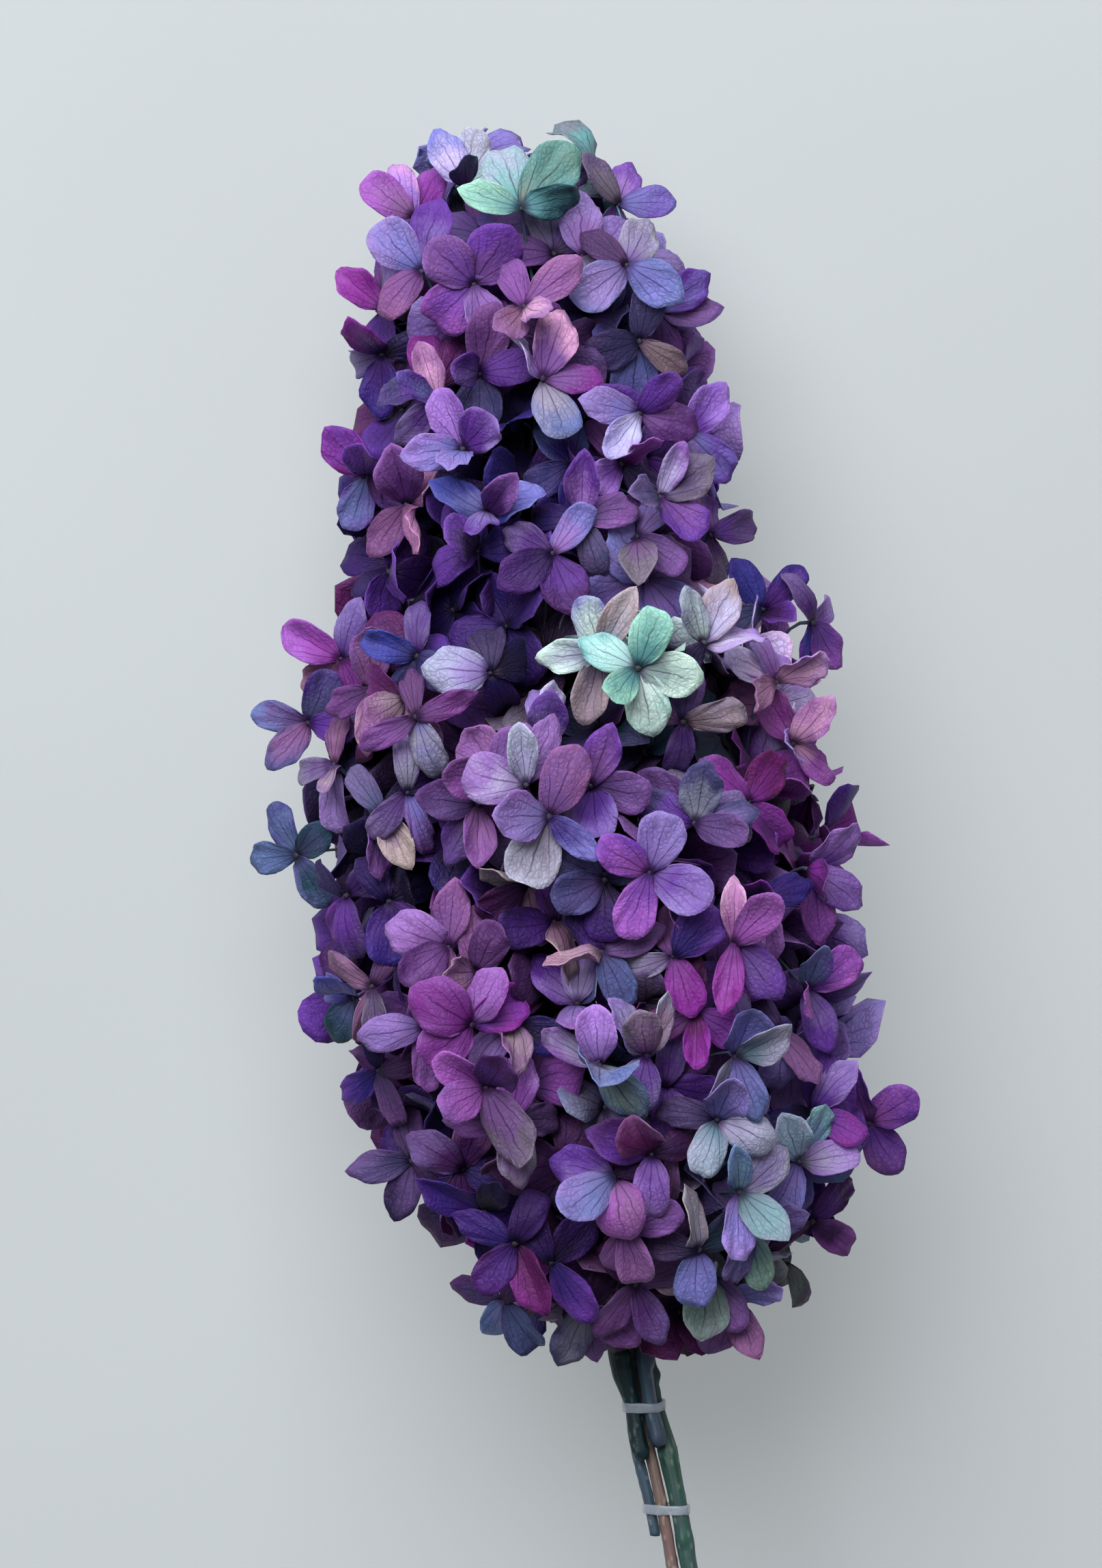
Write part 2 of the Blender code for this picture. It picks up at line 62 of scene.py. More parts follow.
# The head's outline, a little inside the CAD's: y, the axis's x, the radius
HEAD_STATIONS = np.array((
    (-150, 18, 12),
    (-136, 20, 34),
    (-114, 21.5, 51),
    (-83, 16, 62),
    (-41, 10, 68.5),
    (0, 7, 68),
    (32, 4, 62),
    (62, -4, 51.5),
    (91, -2.5, 47.5),
    (124, -4.5, 43.5),
    (150, -9, 36),
    (168, -9, 20),
    (175, -9, 6),
), float)
HEAD_FOOT = -128.0  # below this level the stems are seen
AXIS_HEIGHT = 62.0  # of the head's axis at y = 0
AXIS_FALL = 0.1125  # how much lower it lies on each mm towards the tip

# Middle of each spray: y, angle from straight up, distance from the axis. Its stem is stem_ and the same name
SPRAYS = {
    "top": (108, 0, 0),
    "right": (0, 72, 33),
    "left": (-8, -44, 33),
    "under": (-5, 190, 29),
    "bottom": (-98, 0, 0),
}
STEMS = {
    "stem_top": "green_stem",
    "stem_under": "tan_stem",
    "stem_left": "slate_stem",
    "stem_right": "slate_stem",
    "stem_bottom": "teal_stem",
}
BANDS = ("band_upper", "band_lower", "band_end")

# The photograph's frame, for pieces placed by a pixel of it
PHOTO_MIDDLE = (807.0, 1148.0)
PHOTO_WIDTH = 1614
PHOTO_SCALE = 0.18  # mm a pixel at the eye level
EYE_LEVEL = 66.0  # near the head's axis
EYE_DISTANCE = 1050.0  # from that level up to the camera
SENSOR = 36.0

# Dyes, as sRGB bytes and the dye that each one runs into when no other is named. One of them is painted shade
DYES = {
    "mint": (156, 210, 197, "pale_mint"),
    "pale_mint": (206, 226, 224, "pale_lavender"),
    "sea_teal": (92, 158, 160, "mint"),
    "pale_teal": (122, 156, 174, "ash"),
    "dark_teal": (18, 62, 76, "slate"),
    "steel": (92, 108, 166, "lavender"),
    "slate": (64, 60, 110, "dusk"),
    "blue": (58, 60, 156, "periwinkle"),
    "periwinkle": (116, 110, 190, "lavender"),
    "pale_lavender": (200, 184, 230, "lilac"),
    "lavender": (140, 110, 184, "periwinkle"),
    "lilac": (158, 108, 198, "pale_lavender"),
    "violet": (98, 42, 152, "lavender"),
    "deep_violet": (58, 14, 108, "violet"),
    "indigo": (40, 24, 114, "deep_violet"),
    # Near-black violet: painted shade, for florets and petals that lie in deep shadow
    "night": (18, 10, 46, "indigo"),
    "plum": (70, 22, 90, "crimson"),
    "mauve": (124, 72, 148, "orchid"),
    "dusk": (90, 62, 120, "mauve"),
    "orchid": (152, 72, 174, "lilac"),
    "magenta": (130, 20, 140, "orchid"),
    "crimson": (96, 10, 88, "magenta"),
    "pink": (222, 156, 204, "rose"),
    "rose": (142, 84, 146, "mauve"),
    "salmon": (160, 110, 146, "rose"),
    "taupe": (114, 100, 120, "dusk"),
    "tan": (166, 140, 148, "rose"),
    "grey_green": (124, 152, 144, "taupe"),
    "ash": (156, 152, 180, "pale_lavender"),
}

# Patches of dye over the head: photo x, y, reach, then the dyes found there. Their near-black violet is painted shade,
# where the head lies in deep shadow
DYE_PATCHES = (
    (700, 230, 80, "sea_teal lavender periwinkle"),
    (850, 300, 80, "sea_teal taupe lavender"),
    (560, 380, 80, "orchid mauve lavender"),
    (700, 420, 70, "violet mauve lavender"),
    (860, 400, 80, "lavender dusk periwinkle"),
    (960, 440, 80, "periwinkle lavender steel"),
    (560, 520, 80, "deep_violet plum violet"),
    (640, 520, 60, "crimson plum magenta"),
    (770, 560, 70, "mauve lavender dusk"),
    (930, 560, 80, "lavender mauve violet"),
    (1020, 640, 80, "violet periwinkle plum"),
    (680, 680, 80, "indigo blue violet"),
    (540, 720, 80, "deep_violet indigo plum"),
    (850, 700, 80, "indigo deep_violet violet"),
    (960, 800, 80, "dusk mauve lavender"),
    (720, 830, 90, "indigo violet deep_violet"),
    (480, 900, 90, "plum deep_violet crimson"),
    (620, 980, 90, "indigo plum deep_violet"),
    (880, 960, 80, "pale_mint taupe mint"),
    (1030, 960, 80, "pale_lavender pink pale_mint"),
    (1130, 1010, 80, "pink pale_lavender orchid"),
    (950, 1100, 70, "dark_teal slate mauve"),
    (470, 1100, 80, "slate deep_violet plum"),
    (620, 1160, 80, "night plum dusk"),
    (760, 1130, 80, "mauve pale_lavender dusk"),
    (1110, 1160, 90, "magenta crimson plum"),
    (1180, 1250, 80, "magenta violet deep_violet"),
    (930, 1240, 80, "violet slate dusk"),
    (450, 1260, 80, "slate dark_teal dusk"),
    (660, 1300, 90, "deep_violet night plum"),
    (830, 1340, 80, "night deep_violet plum"),
    (1070, 1380, 90, "orchid violet deep_violet"),
    (1190, 1430, 80, "violet lavender deep_violet"),
    (540, 1380, 80, "deep_violet violet plum"),
    (680, 1400, 80, "mauve plum rose"),
    (850, 1440, 70, "lavender ash indigo"),
    (520, 1500, 70, "slate indigo plum"),
    (640, 1530, 80, "orchid magenta mauve"),
    (770, 1600, 80, "lavender mauve taupe"),
    (960, 1540, 90, "mauve violet taupe"),
    (1120, 1560, 90, "periwinkle lavender slate"),
    (1210, 1600, 80, "deep_violet violet indigo"),
    (870, 1610, 60, "ash steel taupe"),
    (650, 1680, 90, "indigo plum night"),
    (830, 1740, 80, "plum lavender rose"),
    (940, 1760, 80, "mauve crimson violet"),
    (1050, 1640, 70, "periwinkle ash pale_teal"),
    (1135, 1670, 60, "lavender pale_teal pale_lavender"),
    (1080, 1740, 80, "periwinkle pale_teal pale_lavender"),
    (1180, 1740, 80, "violet plum steel"),
    (740, 1850, 90, "indigo magenta deep_violet"),
    (900, 1880, 90, "plum mauve dusk"),
    (1050, 1890, 80, "grey_green ash taupe"),
    (800, 1960, 90, "slate plum ash"),
    (1000, 1980, 80, "dusk mauve grey_green"),
)

# Florets placed one by one: photo x, y; rise over the outline; lean in x and y; then the petals, each with its way
# round in degrees, its seen length and half width in photo pixels, how it is held unless it is open, its dye and a
# second one unless that is the first one's partner. Holds: rise (towards the eye), tuck (bent back, behind its
# neighbours, its dyes darkened as painted shade), dome (bent back), roll (rolled lengthways), fold (creased), tip (end
# turned in). The near-black violet dye is painted shade, on petals that lie in deep shadow
PLACED_FLORETS = (
    # upper head
    (764, 306, 12, 0, 0.1, "110 112 38 sea_teal ash, 164 60 24 sea_teal, 52 128 38 grey_green sea_teal, "
     "14 64 18 roll sea_teal dark_teal"),
    (680, 271, -4, -0.2, 0.5, "78 92 27 pale_mint ash, 120 78 28 pale_lavender periwinkle, 5 70 26 pale_mint sea_teal, "
     "300 60 24 rise dusk slate"),
    (607, 319, -2, -0.3, 0.35, "73 86 25 magenta, 153 96 30 rose orchid, 112 76 26 dome lilac pink, "
     "280 50 20 tuck crimson"),
    (618, 398, 2, -0.2, 0.1, "133 102 35 periwinkle, 71 105 38 lavender violet, 176 86 28 fold violet, "
     "224 72 28 dome mauve rose"),
    (694, 417, 7, -0.05, 0.05, "64 98 41 mauve violet, 139 90 36 violet mauve, 225 86 40 violet orchid, "
     "283 66 24 fold lilac lavender"),
    (768, 450, 10, 0.05, 0, "111 90 23 orchid mauve, 40 106 27 mauve rose, 232 58 26 rise salmon, "
     "322 52 24 rise pink mauve"),
    (795, 555, 8, 0.05, 0, "68 104 33 mauve pink, 2 74 26 mauve magenta, 291 104 34 ash steel, 125 70 16 roll lilac"),
    (812, 372, 0, 0.1, 0.3, "95 84 34 lavender ash, 45 98 28 taupe lavender, 180 80 26 dusk, 270 70 26 tuck mauve"),
    (853, 376, 4, 0.1, 0.1, "38 78 34 mauve lavender, 92 74 32 mauve lavender, 216 70 26 tuck mauve, "
     "300 86 33 ash steel"),
    (905, 300, -5, 0.5, 0.5, "60 84 26 lilac violet, 130 60 24 taupe, 0 80 26 periwinkle violet, "
     "250 64 24 tuck violet"),
    (918, 389, 12, 0, 0.05, "63 94 30 lavender ash, 327 86 33 periwinkle steel, 216 100 33 lavender steel, "
     "140 60 22 tuck dusk"),
    (964, 456, 5, 0.15, 0, "2 76 29 mauve dusk, 36 82 28 periwinkle violet, 280 66 26 dusk plum, "
     "205 100 34 slate steel"),
    (936, 500, 4, 0.05, 0, "262 108 40 steel periwinkle, 200 70 30 tuck slate, 80 70 26 slate, 330 60 20 tuck tan"),
    # deep violet left shoulder
    (562, 452, 0, -0.5, 0.1, "265 74 33 deep_violet, 146 84 22 fold magenta, 90 60 24 tuck mauve, 0 70 25 tuck plum"),
    (561, 520, 1, -0.4, 0, "270 90 31 deep_violet indigo, 100 66 30 rise deep_violet magenta, 190 50 22 tuck violet, "
     "20 60 20 tuck night"),
    (640, 570, 1, -0.1, 0.05, "103 96 30 crimson, 60 100 32 dome crimson plum, 200 70 24 fold violet slate, "
     "290 60 22 tuck plum"),
    (642, 588, 8, -0.1, 0, "110 84 18 fold pink, 225 50 22 tuck violet, 160 60 18 rise periwinkle violet, "
     "330 60 20 tuck violet"),
    (703, 547, 3, 0, 0.05, "165 50 26 rise lavender violet, 76 104 33 plum mauve, 268 70 36 slate night, "
     "10 66 28 violet deep_violet"),
    # middle of the upper head
    (678, 658, 10, 0, 0.05, "110 96 23 fold lilac violet, 40 86 33 violet, 195 50 28 rise periwinkle lilac, "
     "258 52 26 rise periwinkle"),
    (714, 752, 4, 0, -0.25, "150 74 15 roll periwinkle blue, 60 86 20 fold plum mauve, 22 70 15 roll blue, "
     "90 60 26 rise lavender violet"),
    (596, 740, 4, -0.15, 0, "98 84 30 fold plum mauve, 45 50 14 roll rose pink, 232 72 27 rose plum, "
     "300 72 14 roll pink orchid"),
    (538, 697, 2, -0.35, 0, "80 56 30 rise plum violet, 128 74 30 violet magenta, 250 84 28 steel violet, "
     "330 56 28 plum deep_violet"),
    (700, 808, 6, 0, 0, "112 76 32 indigo violet, 160 90 34 dusk violet, 12 92 32 indigo, 200 80 30 dome deep_violet"),
    (838, 680, 1, 0, 0, "95 70 40 indigo steel, 210 60 26 tuck blue, 340 60 26 tuck indigo, 275 70 28 night"),
    (851, 762, 7, 0, 0.05, "84 96 21 fold lilac violet, 28 84 28 dome dusk, 170 60 22 tuck indigo, "
     "290 60 22 tuck steel"),
    (809, 811, 8, 0, 0, "52 66 22 tip lilac periwinkle, 290 92 34 violet plum, 150 60 24 tuck violet, "
     "215 60 30 tuck deep_violet"),
    (936, 606, 5, 0.25, 0, "53 90 24 violet plum, 346 76 31 mauve plum, 169 66 27 periwinkle, "
     "228 66 20 fold pale_lavender lavender"),
    (910, 680, 6, 0.1, 0, "48 92 14 roll magenta, 210 80 26 violet lilac, 120 60 22 tuck mauve, 320 60 22 tuck slate"),
    (967, 729, 8, 0.15, 0, "64 80 15 fold pale_lavender mauve, 33 84 33 dusk taupe, 317 72 30 mauve violet, "
     "198 62 26 rise slate lavender"),
    (1007, 636, -2, 0.5, 0, "55 88 29 violet lilac, 316 90 30 periwinkle violet, 270 60 22 tuck crimson, "
     "140 60 22 tuck mauve"),
    (1040, 784, -3, 0.5, -0.1, "85 84 24 mauve violet, 174 58 15 roll indigo violet, 20 70 24 violet dusk, "
     "280 70 22 plum taupe"),
    (933, 786, 4, 0.1, 0, "275 96 24 fold mauve taupe, 245 84 22 tip steel, 60 56 24 tuck lavender, 320 66 24 dusk"),
    # pale middle right
    (934, 978, 16, 0, 0, "154 62 26 mint sea_teal, 68 94 29 sea_teal, 350 92 31 grey_green pale_mint, "
     "286 94 32 pale_mint mint, 222 60 24 sea_teal"),
    (880, 955, 7, -0.1, 0, "104 80 27 pale_mint periwinkle, 188 88 24 ash pale_mint, 256 104 22 fold taupe tan, "
     "60 100 20 fold ash tan"),
    (1031, 942, 11, 0.1, 0.05, "112 86 20 pale_mint ash, 65 92 29 pale_lavender tan, 8 60 16 roll pale_lavender, "
     "230 50 20 tuck slate"),
    (1136, 999, 9, 0.2, 0, "152 84 24 pink pale_lavender, 108 72 22 mauve lavender, 52 74 24 fold pink lilac, "
     "200 48 26 tip pink"),
    (1117, 893, -2, 0.4, 0.2, "125 66 26 blue indigo, 45 64 22 violet indigo, 290 60 20 fold plum violet, "
     "205 56 24 tuck steel"),
    (1189, 912, 0, 0.8, 0, "318 86 30 violet orchid, 22 80 22 violet lilac, 282 80 22 blue violet, "
     "120 40 18 tuck violet"),
    (1000, 1057, 6, 0.05, -0.1, "18 76 24 dome tan taupe, 150 60 24 mauve taupe, 90 70 26 slate mauve, "
     "270 60 22 tuck violet"),
    (943, 1100, 0, 0, 0, "135 62 28 dark_teal sea_teal, 25 70 30 dark_teal, 195 80 30 slate night, "
     "85 44 14 roll sea_teal"),
    (1015, 1196, 5, 0.05, 0.05, "100 84 27 fold ash taupe, 140 96 32 mauve dusk, 8 72 22 slate lavender, "
     "342 80 20 dusk taupe"),
    (1095, 1174, 4, 0.2, 0, "48 76 30 magenta crimson, 140 84 26 magenta, 300 60 24 fold plum magenta, "
     "215 56 24 tuck crimson"),
    (1160, 1090, 2, 0.5, 0, "100 90 14 roll magenta rose, 60 92 13 roll pink orchid, 200 70 26 rise plum lavender, "
     "320 60 22 pink orchid"),
    # left edge and its dark middle
    (452, 1059, 2, -0.3, 0, "65 78 27 slate deep_violet, 168 76 22 dusk steel, 232 64 25 rose slate, "
     "352 58 24 violet dusk"),
    (500, 965, -2, -0.5, 0.1, "158 100 24 fold magenta, 210 70 24 crimson salmon, 70 60 24 violet, "
     "300 70 24 magenta plum"),
    (545, 1010, 4, -0.2, 0, "92 66 30 tip rose, 268 84 16 fold rose salmon, 330 70 26 rose plum, "
     "200 60 22 tuck mauve"),
    (590, 1026, 5, -0.05, 0, "30 60 28 rise tan, 312 64 24 fold salmon mauve, 150 50 22 tuck crimson, "
     "240 60 24 salmon"),
    (612, 962, 6, -0.05, 0.05, "160 64 18 fold slate blue, 325 70 26 dome indigo slate, 95 70 20 tuck violet, "
     "250 60 24 slate indigo"),
    (640, 1010, 2, 0, 0, "20 84 34 violet, 95 70 30 indigo violet, 330 100 34 violet plum, 220 80 30 plum"),
    (718, 985, 5, 0.05, 0, "176 78 37 dome lavender ash, 30 70 30 tuck night, 290 60 24 tuck indigo, "
     "90 70 26 tuck slate"),
    (435, 1252, 1, -0.5, 0, "118 62 24 steel indigo, 32 76 24 slate dark_teal, 185 80 24 steel dark_teal, "
     "300 66 24 dark_teal periwinkle"),
    (610, 1050, 9, 0, -0.1, "290 84 24 dome periwinkle ash, 100 44 18 tuck rose, 210 44 18 tuck mauve, "
     "20 50 18 tuck mauve"),
    (597, 1160, 7, 0, -0.1, "290 92 19 dome periwinkle mauve, 92 60 20 dome ash lavender, 230 60 20 tuck violet, "
     "20 50 22 tuck deep_violet"),
    (490, 1120, 3, -0.3, -0.1, "276 104 20 fold lavender mauve, 300 90 18 fold tan mauve, 95 50 18 tuck pink, "
     "190 60 20 tuck lilac"),
    (560, 1190, 3, -0.2, -0.1, "296 88 20 fold mauve tan, 262 90 18 roll periwinkle mauve, 130 60 20 tuck steel, "
     "40 60 22 tuck night"),
    # middle star and its neighbours
    (804, 1196, 13, 0, 0, "68 108 34 mauve rose, 182 92 36 lavender lilac, 249 106 38 tip taupe ash, "
     "318 70 20 indigo periwinkle"),
    (770, 1149, 9, 0, 0.05, "169 86 38 dome pale_lavender, 98 90 18 fold pale_lavender ash, 66 100 24 lilac mauve, "
     "250 50 20 tuck mauve"),
    (732, 1150, 4, -0.05, 0.1, "118 84 36 tip mauve rose, 165 74 30 orchid mauve, 60 70 30 dusk, 240 50 22 tuck plum"),
    (700, 1179, 6, -0.05, 0, "175 74 29 dusk plum, 245 90 27 dusk violet, 268 64 20 fold rose, 80 60 24 tuck mauve"),
    (800, 1090, 5, 0, 0.05, "108 86 20 pale_lavender lavender, 72 70 28 lavender violet, 90 64 12 roll lilac, "
     "200 60 24 tuck dusk"),
    (866, 1150, 4, 0.05, 0, "280 84 34 violet, 70 60 26 mauve violet, 350 90 30 dusk, 180 60 24 tuck violet"),
    (770, 1290, 4, -0.05, -0.2, "285 64 32 tip tan, 150 76 16 roll tan taupe, 80 50 22 tuck dusk, "
     "220 60 24 tuck plum"),
    (812, 1351, 2, 0, 0, "95 84 26 plum violet, 190 92 30 deep_violet night, 345 64 20 fold taupe grey_green, "
     "280 44 16 roll salmon tan"),
    (885, 1290, 3, 0, 0, "150 66 30 slate, 200 66 30 dusk slate, 30 60 26 tuck slate, 270 70 30 night deep_violet"),
    (951, 1278, 12, 0, 0, "72 92 33 violet, 148 80 27 orchid violet, 335 100 34 violet, 250 100 29 violet orchid"),
    (1018, 1206, 7, 0.05, 0.05, "12 68 24 lavender slate, 75 84 30 ash slate, 160 84 30 violet slate, 345 96 24 dusk"),
    # right edge
    (1076, 1381, 10, 0.1, 0, "88 66 15 fold magenta pink, 47 110 27 orchid mauve, 311 96 29 dusk violet, "
     "261 98 21 orchid magenta"),
    (986, 1400, 6, 0.05, 0, "290 82 26 orchid magenta, 52 96 34 indigo violet, 105 72 14 roll mauve rose, "
     "200 46 18 tuck lilac"),
    (1188, 1274, 2, 0.5, 0, "50 88 29 violet lilac, 188 40 30 rise magenta plum, 283 104 26 violet orchid, "
     "335 84 28 lilac violet"),
    (1181, 1447, 4, 0.35, 0, "90 92 23 steel violet, 33 94 28 violet orchid, 195 46 24 rise magenta, "
     "289 92 28 lavender violet"),
    (1110, 1320, 0, 0.3, 0, "80 90 24 fold deep_violet magenta, 20 80 24 deep_violet indigo, 170 70 24 night, "
     "280 80 22 fold plum mauve"),
    # lower left
    (657, 1386, 7, -0.1, 0, "161 86 35 dome mauve lilac, 88 74 26 mauve rose, 262 76 20 fold rose, "
     "215 76 28 mauve plum"),
    (697, 1424, 6, 0, 0.05, "93 84 24 rose, 62 96 28 mauve plum, 298 64 14 fold lilac orchid, "
     "180 60 26 rise rose salmon"),
    (508, 1311, 4, -0.4, -0.3, "247 88 24 violet magenta, 277 88 25 dome violet dusk, 40 56 20 tuck violet, "
     "150 50 18 tuck indigo"),
    (570, 1320, 3, -0.2, -0.2, "262 94 33 deep_violet indigo, 310 76 28 violet plum, 120 60 24 tuck indigo, "
     "30 60 24 tuck night"),
    (520, 1460, 0, -0.5, 0, "100 60 26 rise periwinkle blue, 235 64 27 steel dark_teal, 170 50 20 tuck blue, "
     "300 50 20 slate steel"),
    (545, 1445, 6, -0.25, -0.1, "268 100 18 fold rose salmon, 286 90 16 fold dusk taupe, 60 50 18 tuck rose, "
     "150 50 18 tuck pink"),
    (556, 1568, -2, -0.4, -0.3, "212 54 22 indigo violet, 285 60 20 dusk, 100 50 20 tuck indigo, 10 50 18 tuck dusk"),
    (690, 1500, 9, -0.05, 0, "155 92 42 dome magenta, 62 60 24 roll lilac orchid, 215 84 36 magenta, "
     "20 52 26 fold violet magenta"),
    (620, 1505, 7, -0.1, 0, "190 56 27 dome lavender lilac, 276 84 22 tip mauve, 90 40 20 tuck mauve, "
     "10 50 20 tuck magenta"),
    (712, 1593, 11, 0, 0, "144 96 20 fold magenta, 62 70 32 rise violet plum, 206 76 28 orchid mauve, "
     "298 114 33 tip mauve taupe"),
    (745, 1640, 10, 0.05, 0, "74 84 31 dome orchid, 0 60 24 tuck dusk, 180 50 24 tuck mauve, 280 70 28 mauve taupe"),
    (752, 1500, 4, 0, 0.05, "215 66 28 dome lavender mauve, 276 84 15 roll tan, 80 60 22 tuck plum, 340 70 26 night"),
    (846, 1470, 5, 0, 0.05, "128 84 30 lavender violet, 85 72 27 dome pale_lavender lavender, "
     "55 66 12 roll periwinkle pale_mint, 262 84 24 lavender mauve"),
    (880, 1395, 3, 0, 0, "110 66 33 deep_violet night, 300 60 26 slate steel, 20 60 24 dusk, "
     "200 56 14 roll tan salmon"),
    (948, 1545, 6, 0, 0.05, "92 90 27 rise rose taupe, 72 88 14 roll pink ash, 120 76 14 roll ash lavender, "
     "255 66 33 dome violet"),
    (878, 1560, 6, 0, 0.05, "97 72 24 fold lavender lilac, 150 60 20 tip ash mauve, 250 84 36 fold ash steel, "
     "320 80 30 dome grey_green steel"),
    (1020, 1480, 6, 0.1, 0, "330 66 26 tip orchid magenta, 270 60 16 fold crimson, 100 60 24 tuck plum, "
     "200 60 24 mauve crimson"),
    (1077, 1548, 7, 0.1, 0, "84 80 28 fold periwinkle slate, 40 76 22 fold pale_teal, 262 104 22 fold ash lavender, "
     "290 88 24 periwinkle steel"),
    (1141, 1510, 4, 0.2, 0, "270 74 32 dome periwinkle, 305 80 24 mauve rose, 120 60 24 tuck violet, "
     "200 60 24 violet"),
    # bottom
    (973, 1590, 5, 0, 0, "290 86 34 dome violet lilac, 200 84 32 violet, 350 60 26 deep_violet, 80 60 24 tuck violet"),
    (1050, 1640, 8, 0.1, 0, "80 96 26 fold periwinkle, 335 66 30 dome pale_lavender ash, 250 80 26 pale_teal, "
     "165 50 22 tuck slate"),
    (1083, 1746, 9, 0.1, 0, "110 84 17 fold pale_teal steel, 310 92 28 pale_teal, 262 102 25 periwinkle, "
     "40 80 28 dome lavender ash"),
    (1023, 1829, 5, 0, -0.1, "268 66 30 periwinkle steel, 100 96 14 roll ash tan, 30 60 24 tuck dark_teal, "
     "180 50 22 tuck slate"),
    (1095, 1800, 4, 0.1, -0.1, "285 84 24 pale_teal grey_green, 250 60 20 tuck steel, 20 60 22 slate, "
     "120 60 22 tuck steel"),
    (1170, 1700, 1, 0.4, 0, "115 84 24 fold pale_teal, 255 92 22 fold lavender, 60 76 26 steel pale_teal, "
     "10 84 16 roll ash lilac"),
    (1190, 1626, 0, 0.5, 0, "80 96 20 fold deep_violet, 40 80 24 violet, 320 80 24 violet magenta, 200 56 22 night"),
    (1272, 1644, 2, 0.3, 0, "38 80 31 orchid violet, 300 70 30 violet mauve, 196 54 22 violet plum, "
     "110 50 20 roll orchid violet"),
    (1189, 1788, -3, 0.6, -0.3, "45 84 26 violet plum, 330 76 24 plum orchid, 150 56 20 tuck dusk, 205 56 22 plum"),
    (900, 1722, 10, 0, 0, "215 100 34 steel, 276 88 38 dome rose orchid, 165 84 30 lavender violet, "
     "30 60 24 tuck plum"),
    (955, 1690, 7, 0, 0, "268 80 28 dome violet lilac, 112 56 28 fold crimson rose, 160 90 26 fold violet plum, "
     "20 50 22 tuck plum"),
    (915, 1800, 6, 0, -0.1, "258 86 24 rose, 285 84 22 fold mauve rose, 20 76 26 plum mauve, 140 60 24 tuck slate"),
    (978, 1770, 6, 0, -0.1, "245 70 24 fold rose crimson, 285 70 17 orchid plum, 90 50 20 tuck rose, "
     "200 70 26 violet plum"),
    (710, 1773, 5, -0.1, -0.1, "146 108 21 fold indigo, 282 88 27 indigo night, 350 90 30 indigo, "
     "70 60 24 tuck night"),
    (677, 1711, 4, -0.15, 0, "150 76 28 plum dusk, 345 80 30 indigo plum, 265 64 28 plum night, 75 60 28 plum rose"),
    (604, 1700, 0, -0.4, -0.1, "255 84 28 dusk night, 190 70 24 slate, 100 60 22 tuck dusk, 330 60 24 tuck dusk"),
    (754, 1821, 6, -0.05, -0.2, "300 102 23 fold crimson, 235 80 26 deep_violet plum, 60 60 24 tuck deep_violet, "
     "150 60 22 indigo"),
    (808, 1848, 6, 0, -0.2, "303 104 27 indigo violet, 40 66 28 night deep_violet, 200 60 24 tuck magenta, "
     "120 60 24 tuck indigo"),
    (740, 1905, -1, -0.2, -0.5, "245 70 24 lavender steel, 300 84 24 fold steel slate, 180 70 24 slate plum, "
     "60 60 24 tuck mauve"),
    (860, 1915, 2, 0, -0.5, "245 66 30 ash slate, 330 84 26 plum mauve, 280 60 24 dusk, 60 60 24 tuck plum"),
    (930, 1880, 4, 0, -0.3, "238 92 25 mauve plum, 300 80 24 plum dusk, 30 60 24 dusk, 130 50 22 tuck plum"),
    (1040, 1868, 3, 0.1, -0.3, "262 76 34 grey_green, 318 50 24 rise grey_green ash, 180 56 26 tan taupe, "
     "300 84 27 dusk"),
    (1065, 1900, 0, 0.15, -0.5, "256 76 30 mauve dusk, 300 76 24 dusk rose, 30 56 20 periwinkle, "
     "120 50 22 tuck grey_green"),
)

# The values that shape one petal, in its own axes: x across, y outwards, z towards the floret's front. Each has the
# usual one, in mm, radians or shares
PETAL_VALUES = dict(
    yaw=0.0, out=0.35, lift=0.0, length=16.0, half_width=6.8, widest=0.6, waist=1.2, tip=0.0, claw=0.85,
    cup=0.2, bend=-0.2, curl=0.0, dish=0.0, crease=0.0, ruffle=0.3, ripples=5.0, phase=0.0, swell=0.25, twist=0.0,
)
AT = {name: i for i, name in enumerate(PETAL_VALUES)}
FAN_HALF_ANGLE = math.radians(150)  # how far a petal's outline turns round its middle, to each side of its tip
CENTRE_STEPS = 24  # of the bent line that a petal's middle follows
CENTRE_REACH = 1.15  # that line's length as a share of the petal's
PETAL_THICKNESS = 0.26

# Placed petals: how much of their seen length and width is the petal's own, after what stands nearer the eye
SEEN_SHARE = 0.94
FULLER = 1.07
LEAST_LENGTH = 15.0
# What a tucked petal's dyes are multiplied by: painted shade, for petals behind their neighbours
TUCKED_SHADE = 0.5
FRONT_RISE = 9  # florets that rise more stand in front, and face the eye more exactly
FRONT_LOOSE, BACK_LOOSE = 0.05, 0.16

# Dyes: how often a dye runs into its partner, and how often a petal takes its floret's usual pair
PARTNER_SHARE = 0.55
USUAL_SHARE = 0.62
GREYER = 0.09
BRIGHTEST = 0.9

# How the petals of the other florets are held: share, then mean and spread of cup, of bend and of dish
HABITS = {
    "open": (0.34, 0.22, 0.14, -0.25, 0.25, -0.004, 0.015),
    "cupped": (0.24, 0.60, 0.16, -0.20, 0.25, 0.012, 0.015),
    "half": (0.20, 0.95, 0.16, -0.05, 0.25, 0.025, 0.015),
    "reflexed": (0.22, 0.22, 0.14, -0.95, 0.25, -0.025, 0.015),
}

# Florets under the weight are pressed flat: below the soft level their points draw together, down to the gap
FLOOR_GAP = 0.6
FLOOR_SOFT = 7.0

